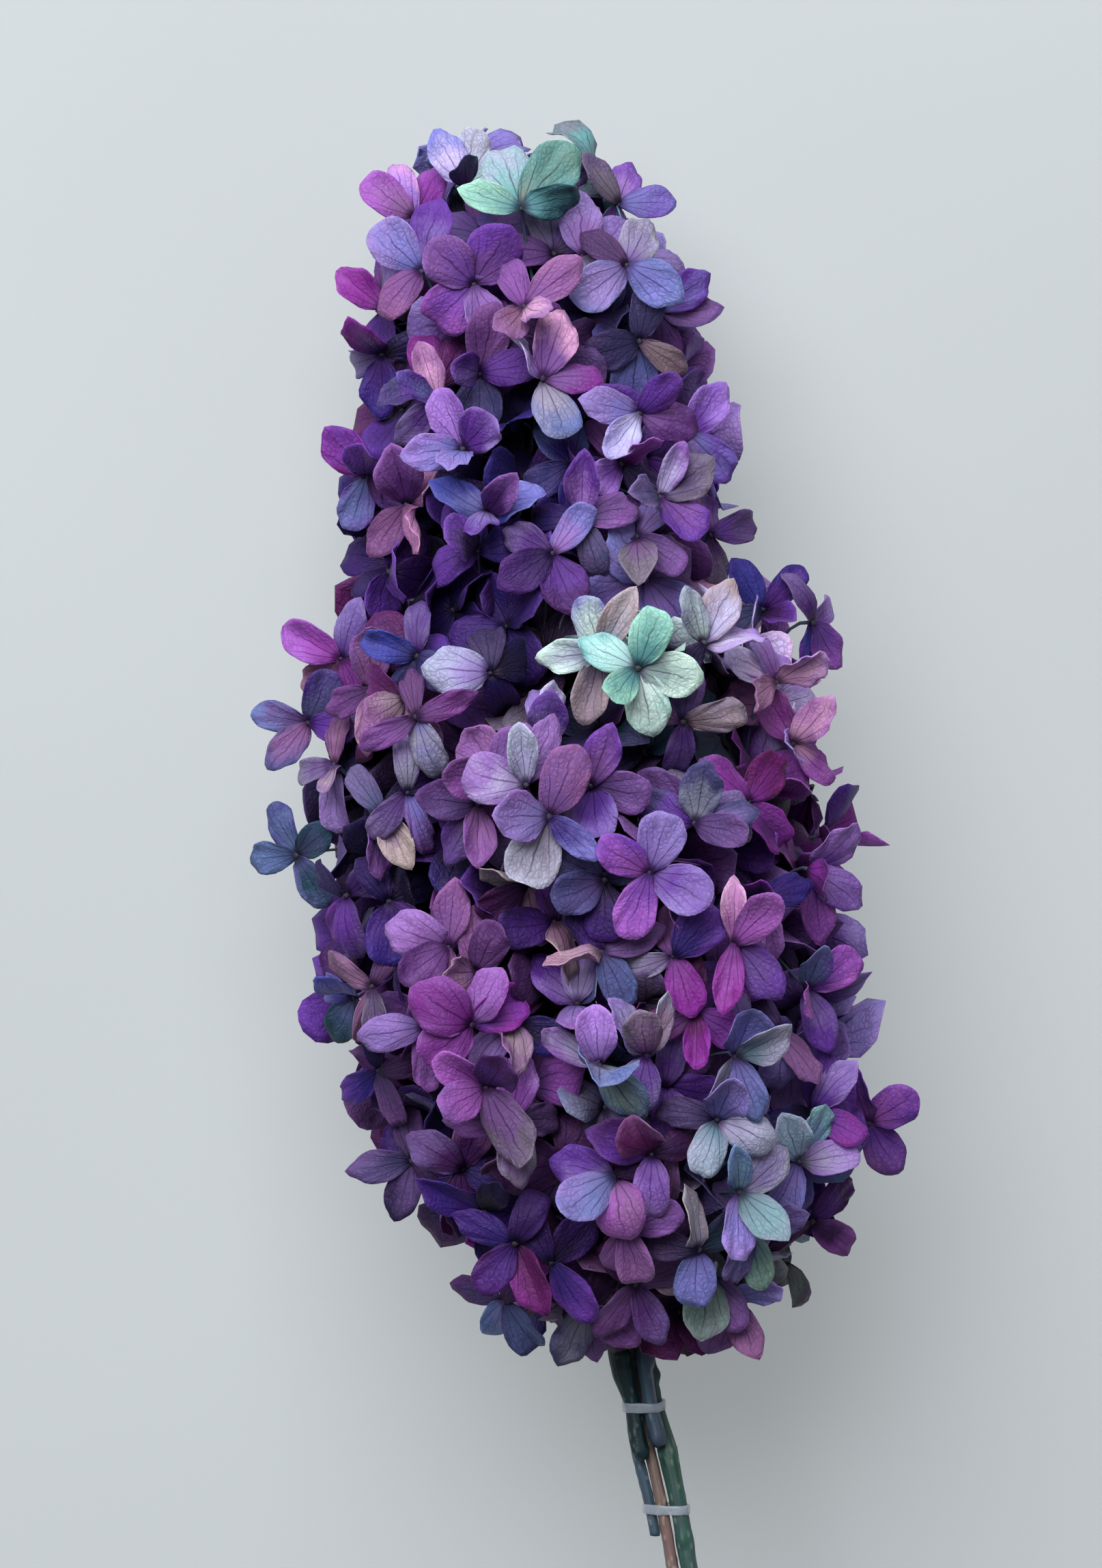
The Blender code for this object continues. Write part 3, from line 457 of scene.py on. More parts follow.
# The search for florets' places
CANDIDATES = 9000
MOST_OUTER = 700
MOST_INNER = 260
SURFACE_DEPTH = 8.0  # of the layer where the outer florets are spread, and the depths that each is tried at
SURFACE_DEPTHS = (6.0, 16.0)
INNER_DEPTH = 18.0
INNER_DEPTHS = (16.0, 24.0)
INNER_SPACING = 1.2  # inner florets stand this much further apart
INNER_SIZE = 0.92
INNER_SWELL = 0.3  # how far they follow the swells of the outline
STEM_WEIGHT = 2  # what a crossing with a stem counts
HIDING_WEIGHT = 0.5  # what a point in front of a placed floret counts
DEPTH_WEIGHT = 3.0
SETTLE_TRIES = 8
LONGEST_DRIFT = 6.0  # how far settling may move a placed floret along the line of sight


# Small helpers


def in_mm(length):
    """A length property, which Blender holds in metres, in mm."""
    return round(length / MM, 4)


def linear(colour):
    """sRGB bytes as linear shares."""
    share = np.array(colour, float) / 255
    return np.where(share <= 0.04045, share / 12.92, ((share + 0.055) / 1.055) ** 2.4)


def dye(name):
    """A dye as linear shares, and the dye that it runs into."""
    *colour, partner = DYES[name]
    return linear(colour), partner


def smooth_step(low, high, x):
    t = np.clip((x - low) / (high - low), 0, 1)
    return t * t * (3 - 2 * t)


def unit(vectors):
    return vectors / np.maximum(np.linalg.norm(vectors, axis=-1, keepdims=True), 1e-9)


def new_piece(name, points, faces, material, slot=None, replaced=(), flat=None):
    """A mesh object from points in mm and a list of arrays of like faces. flat marks the faces to shade flat."""
    corners = np.concatenate([group.ravel() for group in faces]).astype(np.int32)
    sizes = np.concatenate([np.full(len(group), group.shape[1]) for group in faces]).astype(np.int32)
    mesh = bpy.data.meshes.new(name)
    mesh.vertices.add(len(points))
    mesh.vertices.foreach_set("co", (np.asarray(points) * MM).astype(np.float32).ravel())
    mesh.loops.add(len(corners))
    mesh.loops.foreach_set("vertex_index", corners)
    mesh.polygons.add(len(sizes))
    starts = np.concatenate(([0], np.cumsum(sizes)[:-1])).astype(np.int32)
    mesh.polygons.foreach_set("loop_start", starts)
    mesh.polygons.foreach_set("use_smooth", np.full(len(sizes), True) if flat is None else ~flat)
    mesh.update(calc_edges=True)
    mesh.validate()
    mesh.materials.append(material)
    piece = bpy.data.objects.new(name, mesh)
    bpy.context.scene.collection.objects.link(piece)
    if slot:
        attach(piece, BODY)
    if replaced:
        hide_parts(*replaced)
    return piece


def paint(piece, name, kind, values):
    """Adds a point attribute to a piece. Colours come without alpha."""
    field = {"FLOAT": "value", "FLOAT_VECTOR": "vector", "FLOAT_COLOR": "color"}[kind]
    if kind == "FLOAT_COLOR":
        values = np.concatenate([values, np.ones((len(values), 1))], 1)
    attribute = piece.data.attributes.new(name, kind, "POINT")
    attribute.data.foreach_set(field, np.asarray(values, np.float32).ravel())


def grid_quads(rows, columns):
    r, c = np.meshgrid(np.arange(rows - 1), np.arange(columns - 1), indexing="ij")
    first = (r * columns + c).ravel()
    return np.stack([first, first + 1, first + columns + 1, first + columns], 1)


def ring_quads(rings, sides, closed=False):
    """Quads of a tube of rings, or of a closed hoop of them."""
    r, c = np.meshgrid(np.arange(rings if closed else rings - 1), np.arange(sides), indexing="ij")
    r, c = r.ravel(), c.ravel()
    up, side = (r + 1) % rings, (c + 1) % sides
    return np.stack([r * sides + c, r * sides + side, up * sides + side, up * sides + c], 1)


def tube_faces(rings, sides):
    """Quads of a tube and triangles of its two ends, whose middles are the last two points."""
    k = np.arange(sides)
    m = (k + 1) % sides
    first, top = rings * sides, (rings - 1) * sides
    return [ring_quads(rings, sides), np.concatenate([
        np.stack([m, k, np.full(sides, first)], 1),
        np.stack([top + k, top + m, np.full(sides, first + 1)], 1),
    ])]


# The head's outline


def station(y, column):
    return np.interp(y, HEAD_STATIONS[:, 0], HEAD_STATIONS[:, column])


def axis_point(y):
    y = np.asarray(y, float)
    return np.stack([station(y, 1), y, AXIS_HEIGHT - AXIS_FALL * y], -1)


def around(angle):
    angle = np.asarray(angle, float)
    return np.stack([np.sin(angle), np.zeros_like(angle), np.cos(angle)], -1)


def head_point(y, angle, depth):
    reach = np.maximum(station(y, 2) - depth, 0)
    return axis_point(y) + around(angle) * reach[..., None]


def head_normal(y, angle):
    step = 5.0
    slope = (station(y + step, 2) - station(y - step, 2)) / (2 * step)
    way = around(angle)
    way[..., 1] -= slope
    return unit(way)


def heart(name):
    y, angle, distance = SPRAYS[name]
    return axis_point(y) + around(math.radians(angle)) * distance


def spray_of(point):
    return min(SPRAYS, key=lambda name: np.linalg.norm(heart(name) - point))


def off_floor(points):
    """The points with none of them nearer to the floor than the gap. Lower ones stay lower."""
    height = points[..., 2]
    soft = FLOOR_GAP + (FLOOR_SOFT - FLOOR_GAP) * np.exp((height - FLOOR_SOFT) / (FLOOR_SOFT - FLOOR_GAP))
    made = points.copy()
    made[..., 2] = np.where(height < FLOOR_SOFT, soft, height)
    return made


def from_photo(px, py, height):
    scale = PHOTO_SCALE * (EYE_LEVEL + EYE_DISTANCE - height) / EYE_DISTANCE
    return (px - PHOTO_MIDDLE[0]) * scale, (PHOTO_MIDDLE[1] - py) * scale


def to_photo(point):
    scale = PHOTO_SCALE * (EYE_LEVEL + EYE_DISTANCE - point[2]) / EYE_DISTANCE
    return PHOTO_MIDDLE[0] + point[0] / scale, PHOTO_MIDDLE[1] - point[1] / scale


def photo_place(px, py, rise):
    """The point just inside the head seen at a pixel, raised towards the eye."""
    inside, widest, rounds = 5.0, 0.98, 6
    height = EYE_LEVEL
    for _ in range(rounds):
        x, y = from_photo(px, py, height)
        axis = axis_point(y)
        radius = float(station(y, 2))
        across = min(abs(x - axis[0]) / max(radius, 1e-6), widest)
        height = axis[2] + max(radius - inside, 0) * math.sqrt(1 - across * across) + rise
    x, y = from_photo(px, py, height)
    return np.array((x, y, height))


# Petals


def petal_sheets(petals, across, along):
    """Middle surfaces of petals in their florets' axes, as petal, row, column, xyz."""
    # The flat outline, as a fan round the claw
    value = {name: petals[:, i, None, None] for name, i in AT.items()}
    s = across[None, None, :]
    v = along[None, :, None]
    angle = s * FAN_HALF_ANGLE
    ahead, aside = np.cos(angle), np.sin(angle)
    narrow = np.sign(aside) * np.abs(aside) ** np.where(ahead > 0, 0.86, value["waist"])
    wave = 1 + 0.026 * np.sin(4 * angle + value["phase"]) + 0.018 * np.sin(7 * angle - 2 * value["phase"])
    length, widest = value["length"], value["widest"]
    forward = np.where(ahead > 0, (1 - widest) * ahead, 0.93 * widest * ahead)
    point = value["tip"] * np.exp(-((angle / 0.34) ** 2))
    claw = value["claw"] * s
    x = claw + (value["half_width"] * narrow * wave - claw) * v
    y = length * (widest + forward * wave + point) * v
    t = y / length

    # The middle line, which cups, bends and curls
    steps = np.linspace(0, CENTRE_REACH, CENTRE_STEPS + 1)[None, :]
    column = {name: petals[:, i, None] for name, i in AT.items()}
    roll = smooth_step(0.6, 1.1, steps)
    pitch = column["cup"] + column["bend"] * steps + column["curl"] * roll * roll
    middle = (pitch[:, 1:] + pitch[:, :-1]) / 2
    stride = CENTRE_REACH / CENTRE_STEPS
    run = np.concatenate([np.zeros_like(pitch[:, :1]), np.cumsum(np.cos(middle), 1) * stride], 1)
    rise = np.concatenate([np.zeros_like(pitch[:, :1]), np.cumsum(np.sin(middle), 1) * stride], 1)
    place = np.clip(t / CENTRE_REACH, 0, 0.9999) * CENTRE_STEPS
    cell = place.astype(int)
    part = place - cell
    count = len(petals)

    def along_centre(table):
        flat = cell.reshape(count, -1)
        low = np.take_along_axis(table, flat, 1).reshape(cell.shape)
        high = np.take_along_axis(table, flat + 1, 1).reshape(cell.shape)
        return low * (1 - part) + high * part

    slope = along_centre(pitch)
    centre_y = along_centre(run) * length
    centre_z = along_centre(rise) * length

    # Across it: the dish, the crease, the ruffled edge, slow swells and the twist
    turn = np.where(np.abs(value["dish"]) < 1e-4, 1e-4, value["dish"]) * smooth_step(0.0, 0.45, t)
    turn = np.where(np.abs(turn) < 1e-5, 1e-5, turn)
    side = np.sin(turn * x) / turn
    up = (1 - np.cos(turn * x)) / turn
    up = up + value["crease"] * (np.sqrt(x * x + 0.5) - 0.7) * smooth_step(0.05, 0.5, t)
    up = up + value["ruffle"] * v ** 3 * np.sin(value["ripples"] * angle + value["phase"])
    share = x / value["half_width"]
    up = up + value["swell"] * np.sin(2.1 * share + value["phase"] * 1.3) * np.sin(4.4 * t + value["phase"] * 2.1)
    twist = value["twist"] * smooth_step(0.0, 0.5, t)
    across_x = side * np.cos(twist) - up * np.sin(twist)
    across_z = side * np.sin(twist) + up * np.cos(twist)
    local_y = centre_y - across_z * np.sin(slope) + value["out"]
    local_z = centre_z + across_z * np.cos(slope) + value["lift"]
    yaw = value["yaw"]
    return np.stack([
        across_x * np.sin(yaw) + local_y * np.cos(yaw),
        -across_x * np.cos(yaw) + local_y * np.sin(yaw),
        local_z,
    ], -1)


def petal_row(**given):
    """One petal's values, with the usual ones where none is given."""
    return np.array([given.get(name, usual) for name, usual in PETAL_VALUES.items()], float)


def floret_axes(facing):
    """Rows are the floret's x, y and front in the part's frame."""
    front = unit(np.asarray(facing, float))
    guide = np.array((0.0, 1.0, 0.0)) if abs(front[1]) < 0.9 else np.array((0.0, 0.0, 1.0))
    x = unit(np.cross(guide, front))
    return np.array((x, np.cross(front, x), front))


def in_place(sheets, centre, axes):
    return off_floor(centre + sheets @ axes)


# A coarser grid of each petal, to look for crossings on
COARSE_ACROSS = np.linspace(-1, 1, 7)
COARSE_ALONG = np.array((0.15, 0.5, 0.8, 1.0))
COARSE_QUADS = grid_quads(len(COARSE_ALONG), len(COARSE_ACROSS))


def coarse_tree(points):
    """A search tree of coarse petals, from their placed points."""
    size = len(COARSE_ALONG) * len(COARSE_ACROSS)
    quads = np.concatenate([COARSE_QUADS + k * size for k in range(len(points))])
    return BVHTree.FromPolygons(points.reshape(-1, 3).tolist(), quads.tolist())


def crossings(tree, others):
    return sum(len(tree.overlap(other)) for other in others)


def wild_floret(draw, size):
    """The petals of a floret that isn't placed one by one."""
    names = list(HABITS)
    habit = draw.choice(names, p=[HABITS[n][0] for n in names])
    _, cup, cup_spread, bend, bend_spread, dish, dish_spread = HABITS[habit]
    cup, bend, dish = draw.normal((cup, bend, dish), (cup_spread, bend_spread, dish_spread))
    count = 4 if draw.random() < 0.95 else 5
    start = draw.uniform(0, 2 * math.pi)
    squeeze = draw.normal(0, 0.10)
    petals = []
    for k in range(count):
        layer = k % 2
        length = size * draw.uniform(0.86, 1.08)
        kind = draw.random()
        shape = dict(
            cup=cup + draw.normal(0, 0.12) + 0.16 * layer,
            bend=bend + draw.normal(0, 0.15),
            curl=draw.choice((0.0, 0.0, 0.0, 0.7, -0.9)) * draw.uniform(0.4, 1.3),
            dish=dish + draw.normal(0, 0.012),
            crease=draw.uniform(-0.1, 0.3),
            twist=draw.normal(0, 0.18),
        )
        if kind < 0.15:
            shape.update(crease=draw.uniform(0.4, 0.95), dish=0.01)
        elif kind < 0.27:
            shape.update(twist=draw.choice((-1.0, 1.0)) * draw.uniform(0.6, 1.15))
        elif kind < 0.34:
            shape.update(dish=draw.uniform(0.10, 0.17))
        elif kind < 0.44:
            shape.update(cup=cup + draw.uniform(0.5, 0.9), bend=-0.2)
        turn = k * 2 * math.pi / count + squeeze * (1 - 2 * layer)
        petals.append(petal_row(
            yaw=start + turn + draw.normal(0, 0.06),
            lift=0.5 * layer,
            length=length,
            half_width=length * draw.uniform(0.40, 0.52),
            widest=draw.uniform(0.54, 0.66),
            waist=draw.uniform(0.82, 1.15),
            tip=draw.choice((0.0, 0.05, 0.1, 0.15, -0.04)),
            ruffle=draw.uniform(0.25, 0.9),
            ripples=draw.uniform(4.0, 8.0),
            phase=draw.uniform(0, 2 * math.pi),
            swell=draw.uniform(0.35, 1.2),
            **shape,
        ))
    return np.array(petals)


def petal_spec(text):
    """What a placed petal's text says: its way round, length, half width, hold and two dyes."""
    degrees, seen, half, *words = text.split()
    hold = "open" if words[0] in DYES else words.pop(0)
    first, second = words if len(words) == 2 else (words[0], dye(words[0])[1])
    return float(degrees), float(seen), float(half), hold, first, second


def held_petal(draw, spec, layer):
    """A petal of a placed floret, from how it looks in the photograph."""
    degrees, seen, half, hold, _, _ = spec
    scale = PHOTO_SCALE * SEEN_SHARE
    length = max(seen * scale, LEAST_LENGTH)
    half = half * scale * FULLER
    lean = math.acos(min(seen * scale / length, 1.0))
    shape = dict(cup=draw.normal(0.17, 0.10), bend=draw.normal(-0.18, 0.16), dish=draw.normal(0, 0.014))
    if hold == "rise":
        shape.update(cup=0.35 + lean * 1.05, bend=-0.15 - 0.25 * lean, dish=0.02)
    elif hold == "tuck":
        shape.update(cup=0.05, bend=-1.0, dish=-0.02)
    elif hold == "dome":
        shape.update(cup=0.62, bend=-1.35, dish=-0.085)
        length *= 1.10
    elif hold == "roll":
        full = max(half * 1.25, 5.2)
        turned = math.acos(min(half / full, 1.0)) * draw.choice((-1.0, 1.0))
        shape.update(cup=0.2, bend=-0.25, dish=0.07, twist=turned)
        half = full
    elif hold == "fold":
        half *= 1.18
        shape.update(cup=0.25, bend=-0.15, crease=0.75)
    elif hold == "tip":
        shape.update(cup=0.10, bend=0.0, curl=1.5)
        length *= 1.08
    shape.update(length=length, half_width=half)
    shape.setdefault("twist", draw.normal(0, 0.15))
    shape.setdefault("crease", draw.uniform(-0.08, 0.26))
    return petal_row(
        yaw=math.radians(degrees),
        lift=0.5 * layer,
        widest=draw.uniform(0.57, 0.66),
        waist=draw.uniform(0.82, 1.1),
        tip=draw.choice((0.0, 0.05, 0.1, 0.14, -0.03)),
        ruffle=draw.uniform(0.25, 0.7),
        ripples=draw.uniform(4.0, 7.0),
        phase=draw.uniform(0, 2 * math.pi),
        swell=draw.uniform(0.35, 1.1),
        **shape,
    )


# The plan of the whole bunch


def dye_at(draw, point):
    """The dyes for a point, from the patches near where the photograph shows it."""
    px, py = to_photo(point)
    weights = []
    for x, y, reach, _ in DYE_PATCHES:
        apart = (px - x) ** 2 + (py - y) ** 2
        weights.append(math.exp(-apart / (2 * (0.55 * reach) ** 2)) + 1e-5 * (1 / (1 + apart)))
    weights = np.array(weights)
    return DYE_PATCHES[draw.choice(len(DYE_PATCHES), p=weights / weights.sum())][3].split()


def floret_dyes(draw, names, shade, count):
    """Dyes for a floret's petals: most share one pair, and some take another. All are darkened by the painted shade
    given.
    """
    def pair():
        first = names[min(int(draw.exponential(0.8)), len(names) - 1)]
        second = dye(first)[1] if draw.random() < PARTNER_SHARE else names[draw.integers(len(names))]
        return first, second

    usual = pair()
    return [dyed(draw, *(usual if draw.random() < USUAL_SHARE else pair()), shade) for _ in range(count)]


def dyed(draw, first, second, shade):
    """Two dyes as linear colours, each times the painted shade given, and how far a petal leans to the second."""
    strength = shade * draw.uniform(0.8, 1.15)
    colours = [dye(name)[0] * strength * draw.uniform(0.93, 1.07, 3) for name in (first, second)]
    colours = [np.clip(colour + (colour.mean() - colour) * GREYER, 0, BRIGHTEST) for colour in colours]
    return (*colours, draw.normal(-0.05, 0.18))


class Floret:
    """Where one floret sits, its petals and their dyes. A fixed one is placed by the photograph."""

    def __init__(self, centre, axes, petals, dyes, fixed=False, inner=False):
        self.centre, self.axes, self.petals, self.dyes = centre, axes, petals, dyes
        self.fixed, self.inner = fixed, inner
        self.planned = centre
        self.spray = spray_of(centre)
        self.rear = not fixed and centre[2] < axis_point(centre[1])[2] - 8
        self.refresh()

    def refresh(self):
        """Works out the coarse petals, their search tree and their reach."""
        sheets = petal_sheets(self.petals, COARSE_ACROSS, COARSE_ALONG)
        self.points = in_place(sheets, self.centre, self.axes)
        self.tree = coarse_tree(self.points)
        self.reach = float(np.linalg.norm(self.points.reshape(-1, 3) - self.centre, axis=1).max())


def placed_florets(draw):
    """The florets that the photograph shows one by one. Those in front are turned more exactly."""
    made = []
    for px, py, rise, lean_x, lean_y, petals in PLACED_FLORETS:
        specs = [petal_spec(text) for text in petals.split(", ")]
        centre = photo_place(px, py, rise)
        loose = FRONT_LOOSE if rise > FRONT_RISE else BACK_LOOSE
        axes = floret_axes((lean_x + draw.normal(0, loose), lean_y + draw.normal(0, loose), 1.0))
        petals = np.array([held_petal(draw, spec, k % 2) for k, spec in enumerate(specs)])
        # Tucked petals' dyes are darkened as painted shade
        dyes = [
            dyed(draw, first, second, TUCKED_SHADE if hold == "tuck" else 1.0)
            for _, _, _, hold, first, second in specs
        ]
        made.append(Floret(off_floor(centre), axes, petals, dyes, fixed=True))
    return made


def spread_places(draw, taken, spacing, limit, depth):
    """Places on the head, each as far as possible from all others, until they come within the spacing."""
    low, high = HEAD_STATIONS[0, 0] + 18, HEAD_STATIONS[-1, 0] - 9
    y = draw.uniform(low, high, CANDIDATES)
    y = y[draw.random(CANDIDATES) < station(y, 2) / 72.0]  # fewer where the head is thin
    angle = draw.uniform(-math.pi, math.pi, len(y))
    points = off_floor(head_point(y, angle, depth))
    nearest = np.full(len(y), 1e9)
    for point in taken:
        nearest = np.minimum(nearest, np.linalg.norm(points - point, axis=1))
    chosen = []
    for _ in range(limit):
        i = int(nearest.argmax())
        if nearest[i] < spacing:
            break
        chosen.append((float(y[i]), float(angle[i])))
        nearest = np.minimum(nearest, np.linalg.norm(points - points[i], axis=1))
    return chosen


def cushion(point):
    """Slow swells of the head's outline, in mm."""
    x, y, z = point / 11.0
    return 2.4 * math.sin(x + 0.7 * z + 1.0) * math.cos(0.9 * y + 0.4 * x) + 1.3 * math.sin(1.7 * y - z)


def near(florets, centre, reach):
    return [f for f in florets if np.linalg.norm(f.centre - centre) < reach + f.reach]


def own_crossings(points):
    """How often the petals of one floret cross each other."""
    trees = [coarse_tree(points[k:k + 1]) for k in range(len(points))]
    return sum(len(a.overlap(b)) for i, a in enumerate(trees) for b in trees[i + 1:])


def standing_out(points):
    """A penalty for petals that reach past the head's outline."""
    flat = points.reshape(-1, 3)
    beyond = np.linalg.norm(flat - axis_point(flat[:, 1]), axis=1) - station(flat[:, 1], 2)
    below = HEAD_STATIONS[0, 0] + 9.0 - flat[:, 1]
    above = flat[:, 1] - HEAD_STATIONS[-1, 0] + 2.0
    return float(np.maximum(np.maximum(beyond, below), above).clip(0, 12).sum()) * 0.5


def covering(points, placed):
    """How many points of a floret hide a placed floret from the camera."""
    down = Vector((0, 0, -1))
    some = points[:, 1:, ::2].reshape(-1, 3)
    return sum(placed.ray_cast(Vector(point), down, 60.0)[0] is not None for point in some)


def best_place(draw, florets, obstacles, placed, y, angle, settings, tries, inner):
    """The try that crosses its neighbours least, stays inside the outline and hides no placed floret."""
    depths = INNER_DEPTHS if inner else SURFACE_DEPTHS
    best, best_score = None, 1e9
    y_all, angle_all = np.array([y]), np.array([angle])
    normal = head_normal(y_all, angle_all)[0]
    petal_length = in_mm(settings.petal_length)
    around_here = near(florets, head_point(y_all, angle_all, 5.0)[0], petal_length * 1.2 + 6)
    for k in range(tries):
        share = draw.random()
        depth = depths[0] + (depths[1] - depths[0]) * share
        centre = head_point(y_all, angle_all, depth)[0]
        centre = centre + normal * cushion(centre) * (INNER_SWELL if inner else 1.0)
        centre = off_floor(centre + draw.normal(0, 1.3, 3))
        radial = unit(centre - heart(spray_of(centre)))
        facing = unit(normal * 0.75 + radial * 0.25 + draw.normal(0, settings.lean, 3) + np.array((0, 0.14, 0)))
        size = petal_length * draw.uniform(0.86, 1.14) * (INNER_SIZE if inner else 1.0)
        petals = wild_floret(draw, size)
        floret = Floret(centre, floret_axes(facing), petals, None, inner=inner)
        hits = crossings(floret.tree, [f.tree for f in around_here])
        hits += STEM_WEIGHT * crossings(floret.tree, obstacles)
        hidden = covering(floret.points, placed) if normal[2] > -0.2 else 0
        score = hits + HIDING_WEIGHT * hidden + DEPTH_WEIGHT * share + standing_out(floret.points)
        if score < best_score:
            score += 0.25 * own_crossings(floret.points)
        if score < best_score:
            best, best_score = floret, score
        if hits + hidden == 0 and score < 2.0 and k >= 4:
            break
    return best


def floret_cost(floret, others, obstacles):
    """How much a floret crosses its neighbours, the stems and itself."""
    cost = crossings(floret.tree, others) + STEM_WEIGHT * crossings(floret.tree, obstacles)
    return cost + 0.5 * own_crossings(floret.points)


def settle(draw, florets, obstacles, rounds, fixed):
    """Moves florets a little and reshapes single petals, where fewer crossings come of it.

    Fixed florets only move along the camera's line of sight, so they stay where the photograph shows them."""
    eye = np.array((0.0, 0.0, EYE_LEVEL + EYE_DISTANCE))
    moving = [f for f in florets if f.fixed == fixed]
    for _ in range(rounds):
        for floret in moving:
            others = [f.tree for f in near([f for f in florets if f is not floret], floret.centre, floret.reach)]
            now = floret_cost(floret, others, obstacles)
            for _ in range(SETTLE_TRIES):
                if now == 0:
                    break
                kept = dict(vars(floret))
                petals = floret.petals.copy()
                k = draw.integers(len(petals))
                for name, spread in (("cup", 0.24), ("bend", 0.24), ("yaw", 0.05)):
                    petals[k, AT[name]] += draw.normal(0, spread)
                petals[k, AT["lift"]] = np.clip(petals[k, AT["lift"]] + draw.normal(0, 0.3), -0.5, 1.4)
                if petals[k, AT["length"]] > 13.5 and not fixed:
                    petals[k, AT["length"]] *= draw.uniform(0.94, 1.0)
                floret.petals = petals
                if fixed:
                    floret.centre = off_floor(floret.centre + unit(eye - floret.centre) * draw.normal(0, 1.8))
                else:
                    floret.centre = off_floor(floret.centre + draw.normal(0, 0.9, 3))
                front = unit(floret.axes[2] + draw.normal(0, 0.04 if fixed else 0.08, 3))
                x = unit(floret.axes[0] - front * (floret.axes[0] @ front))
                floret.axes = np.array((x, np.cross(front, x), front))
                floret.refresh()
                new = floret_cost(floret, others, obstacles)
                drift = abs(floret.centre[2] - floret.planned[2]) if fixed else 0.0
                if new < now and drift < LONGEST_DRIFT:
                    now = new
                else:
                    vars(floret).update(kept)


def stem_obstacles():
    """Search trees of the CAD's stems."""
    trees = []
    for name in STEMS:
        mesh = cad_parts[name].data
        points = [tuple(v.co / MM) for v in mesh.vertices]
        trees.append(BVHTree.FromPolygons(points, [tuple(p.vertices) for p in mesh.polygons]))
    return trees


PLAN = {}  # what is worked out once: the florets, and the edges of the CAD's stems


def bunch_plan(settings):
    """Every floret of the bunch. It is worked out once, and both the florets and the twigs are built from it."""
    if "florets" in PLAN:
        return PLAN["florets"]
    draw = np.random.default_rng(SEED)
    obstacles = stem_obstacles()
    florets = placed_florets(draw)
    tries, rounds = ((settings.tries, settings.rounds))
    settle(draw, florets, obstacles, 3 * rounds, True)
    placed = coarse_tree(np.concatenate([f.points for f in florets]))
    taken = [f.centre for f in florets]
    spacing = in_mm(settings.spacing)
    for y, angle in spread_places(draw, taken, spacing, MOST_OUTER, SURFACE_DEPTH):
        florets.append(best_place(draw, florets, obstacles, placed, y, angle, settings, tries, False))
    for y, angle in spread_places(draw, [], spacing * INNER_SPACING, MOST_INNER, INNER_DEPTH):
        if station(y, 2) > INNER_DEPTHS[1]:
            florets.append(best_place(draw, florets, obstacles, placed, y, angle, settings, tries // 2, True))
    settle(draw, florets, obstacles, rounds, False)
    for floret in florets:
        if floret.dyes is None:
            # Painted shade: florets whose middles lie deeper in the head get darker dyes
            y = floret.centre[1]
            depth = station(y, 2) - np.linalg.norm(floret.centre - axis_point(y))
            shade = float(np.interp(depth, (7, 14, 20), (1.0, 0.75, 0.5)))
            names = dye_at(draw, floret.centre)
            floret.dyes = floret_dyes(draw, names, shade, len(floret.petals))
    PLAN["florets"] = florets
    return florets


# Meshes of petals


def thick_sheets(sheets, thickness):
    """Closed solids round middle surfaces: points, quads, which faces are on the rim, and the side of each point."""
    count, rows, columns = sheets.shape[:3]
    size = rows * columns
    d_across = np.gradient(sheets, axis=2)
    d_along = np.gradient(sheets, axis=1)
    normal = unit(np.cross(d_across, d_along))
    half = thickness[None, ..., None] / 2
    front = sheets + normal * half
    back = sheets - normal * half
    points = np.concatenate([front.reshape(count, size, 3), back.reshape(count, size, 3)], 1)
    front_quads = grid_quads(rows, columns)
    back_quads = front_quads[:, ::-1] + size
    index = np.arange(size).reshape(rows, columns)
    p = np.concatenate([index[0], index[1:, -1], index[-1, -2::-1], index[-2:0:-1, 0]])
    q = np.roll(p, -1)
    rim = np.stack([q, p, p + size, q + size], 1)
    template = np.concatenate([front_quads, back_quads, rim])
    is_rim = np.concatenate([np.zeros(2 * len(front_quads), bool), np.ones(len(rim), bool)])
    offsets = (np.arange(count) * 2 * size)[:, None, None]
    quads = (template[None] + offsets).reshape(-1, 4)
    side = np.concatenate([np.zeros(size), np.ones(size)])
    return points.reshape(-1, 3), quads, np.tile(is_rim, count), np.tile(side, count)


def painted_depth_shade(points):
    """Painted shade: what share of each linear channel is left of a petal's colour, which darkens and turns more purple
    further inside the head, where the petals lie in shade.
    """
    depth = station(points[..., 1], 2) - np.linalg.norm(points - axis_point(points[..., 1]), axis=-1)
    share = np.interp(depth, (-1, 5, 10, 15, 24), (1.14, 0.9, 0.48, 0.21, 0.05))
    return share[..., None] ** np.array((1.0, 1.3, 0.85))


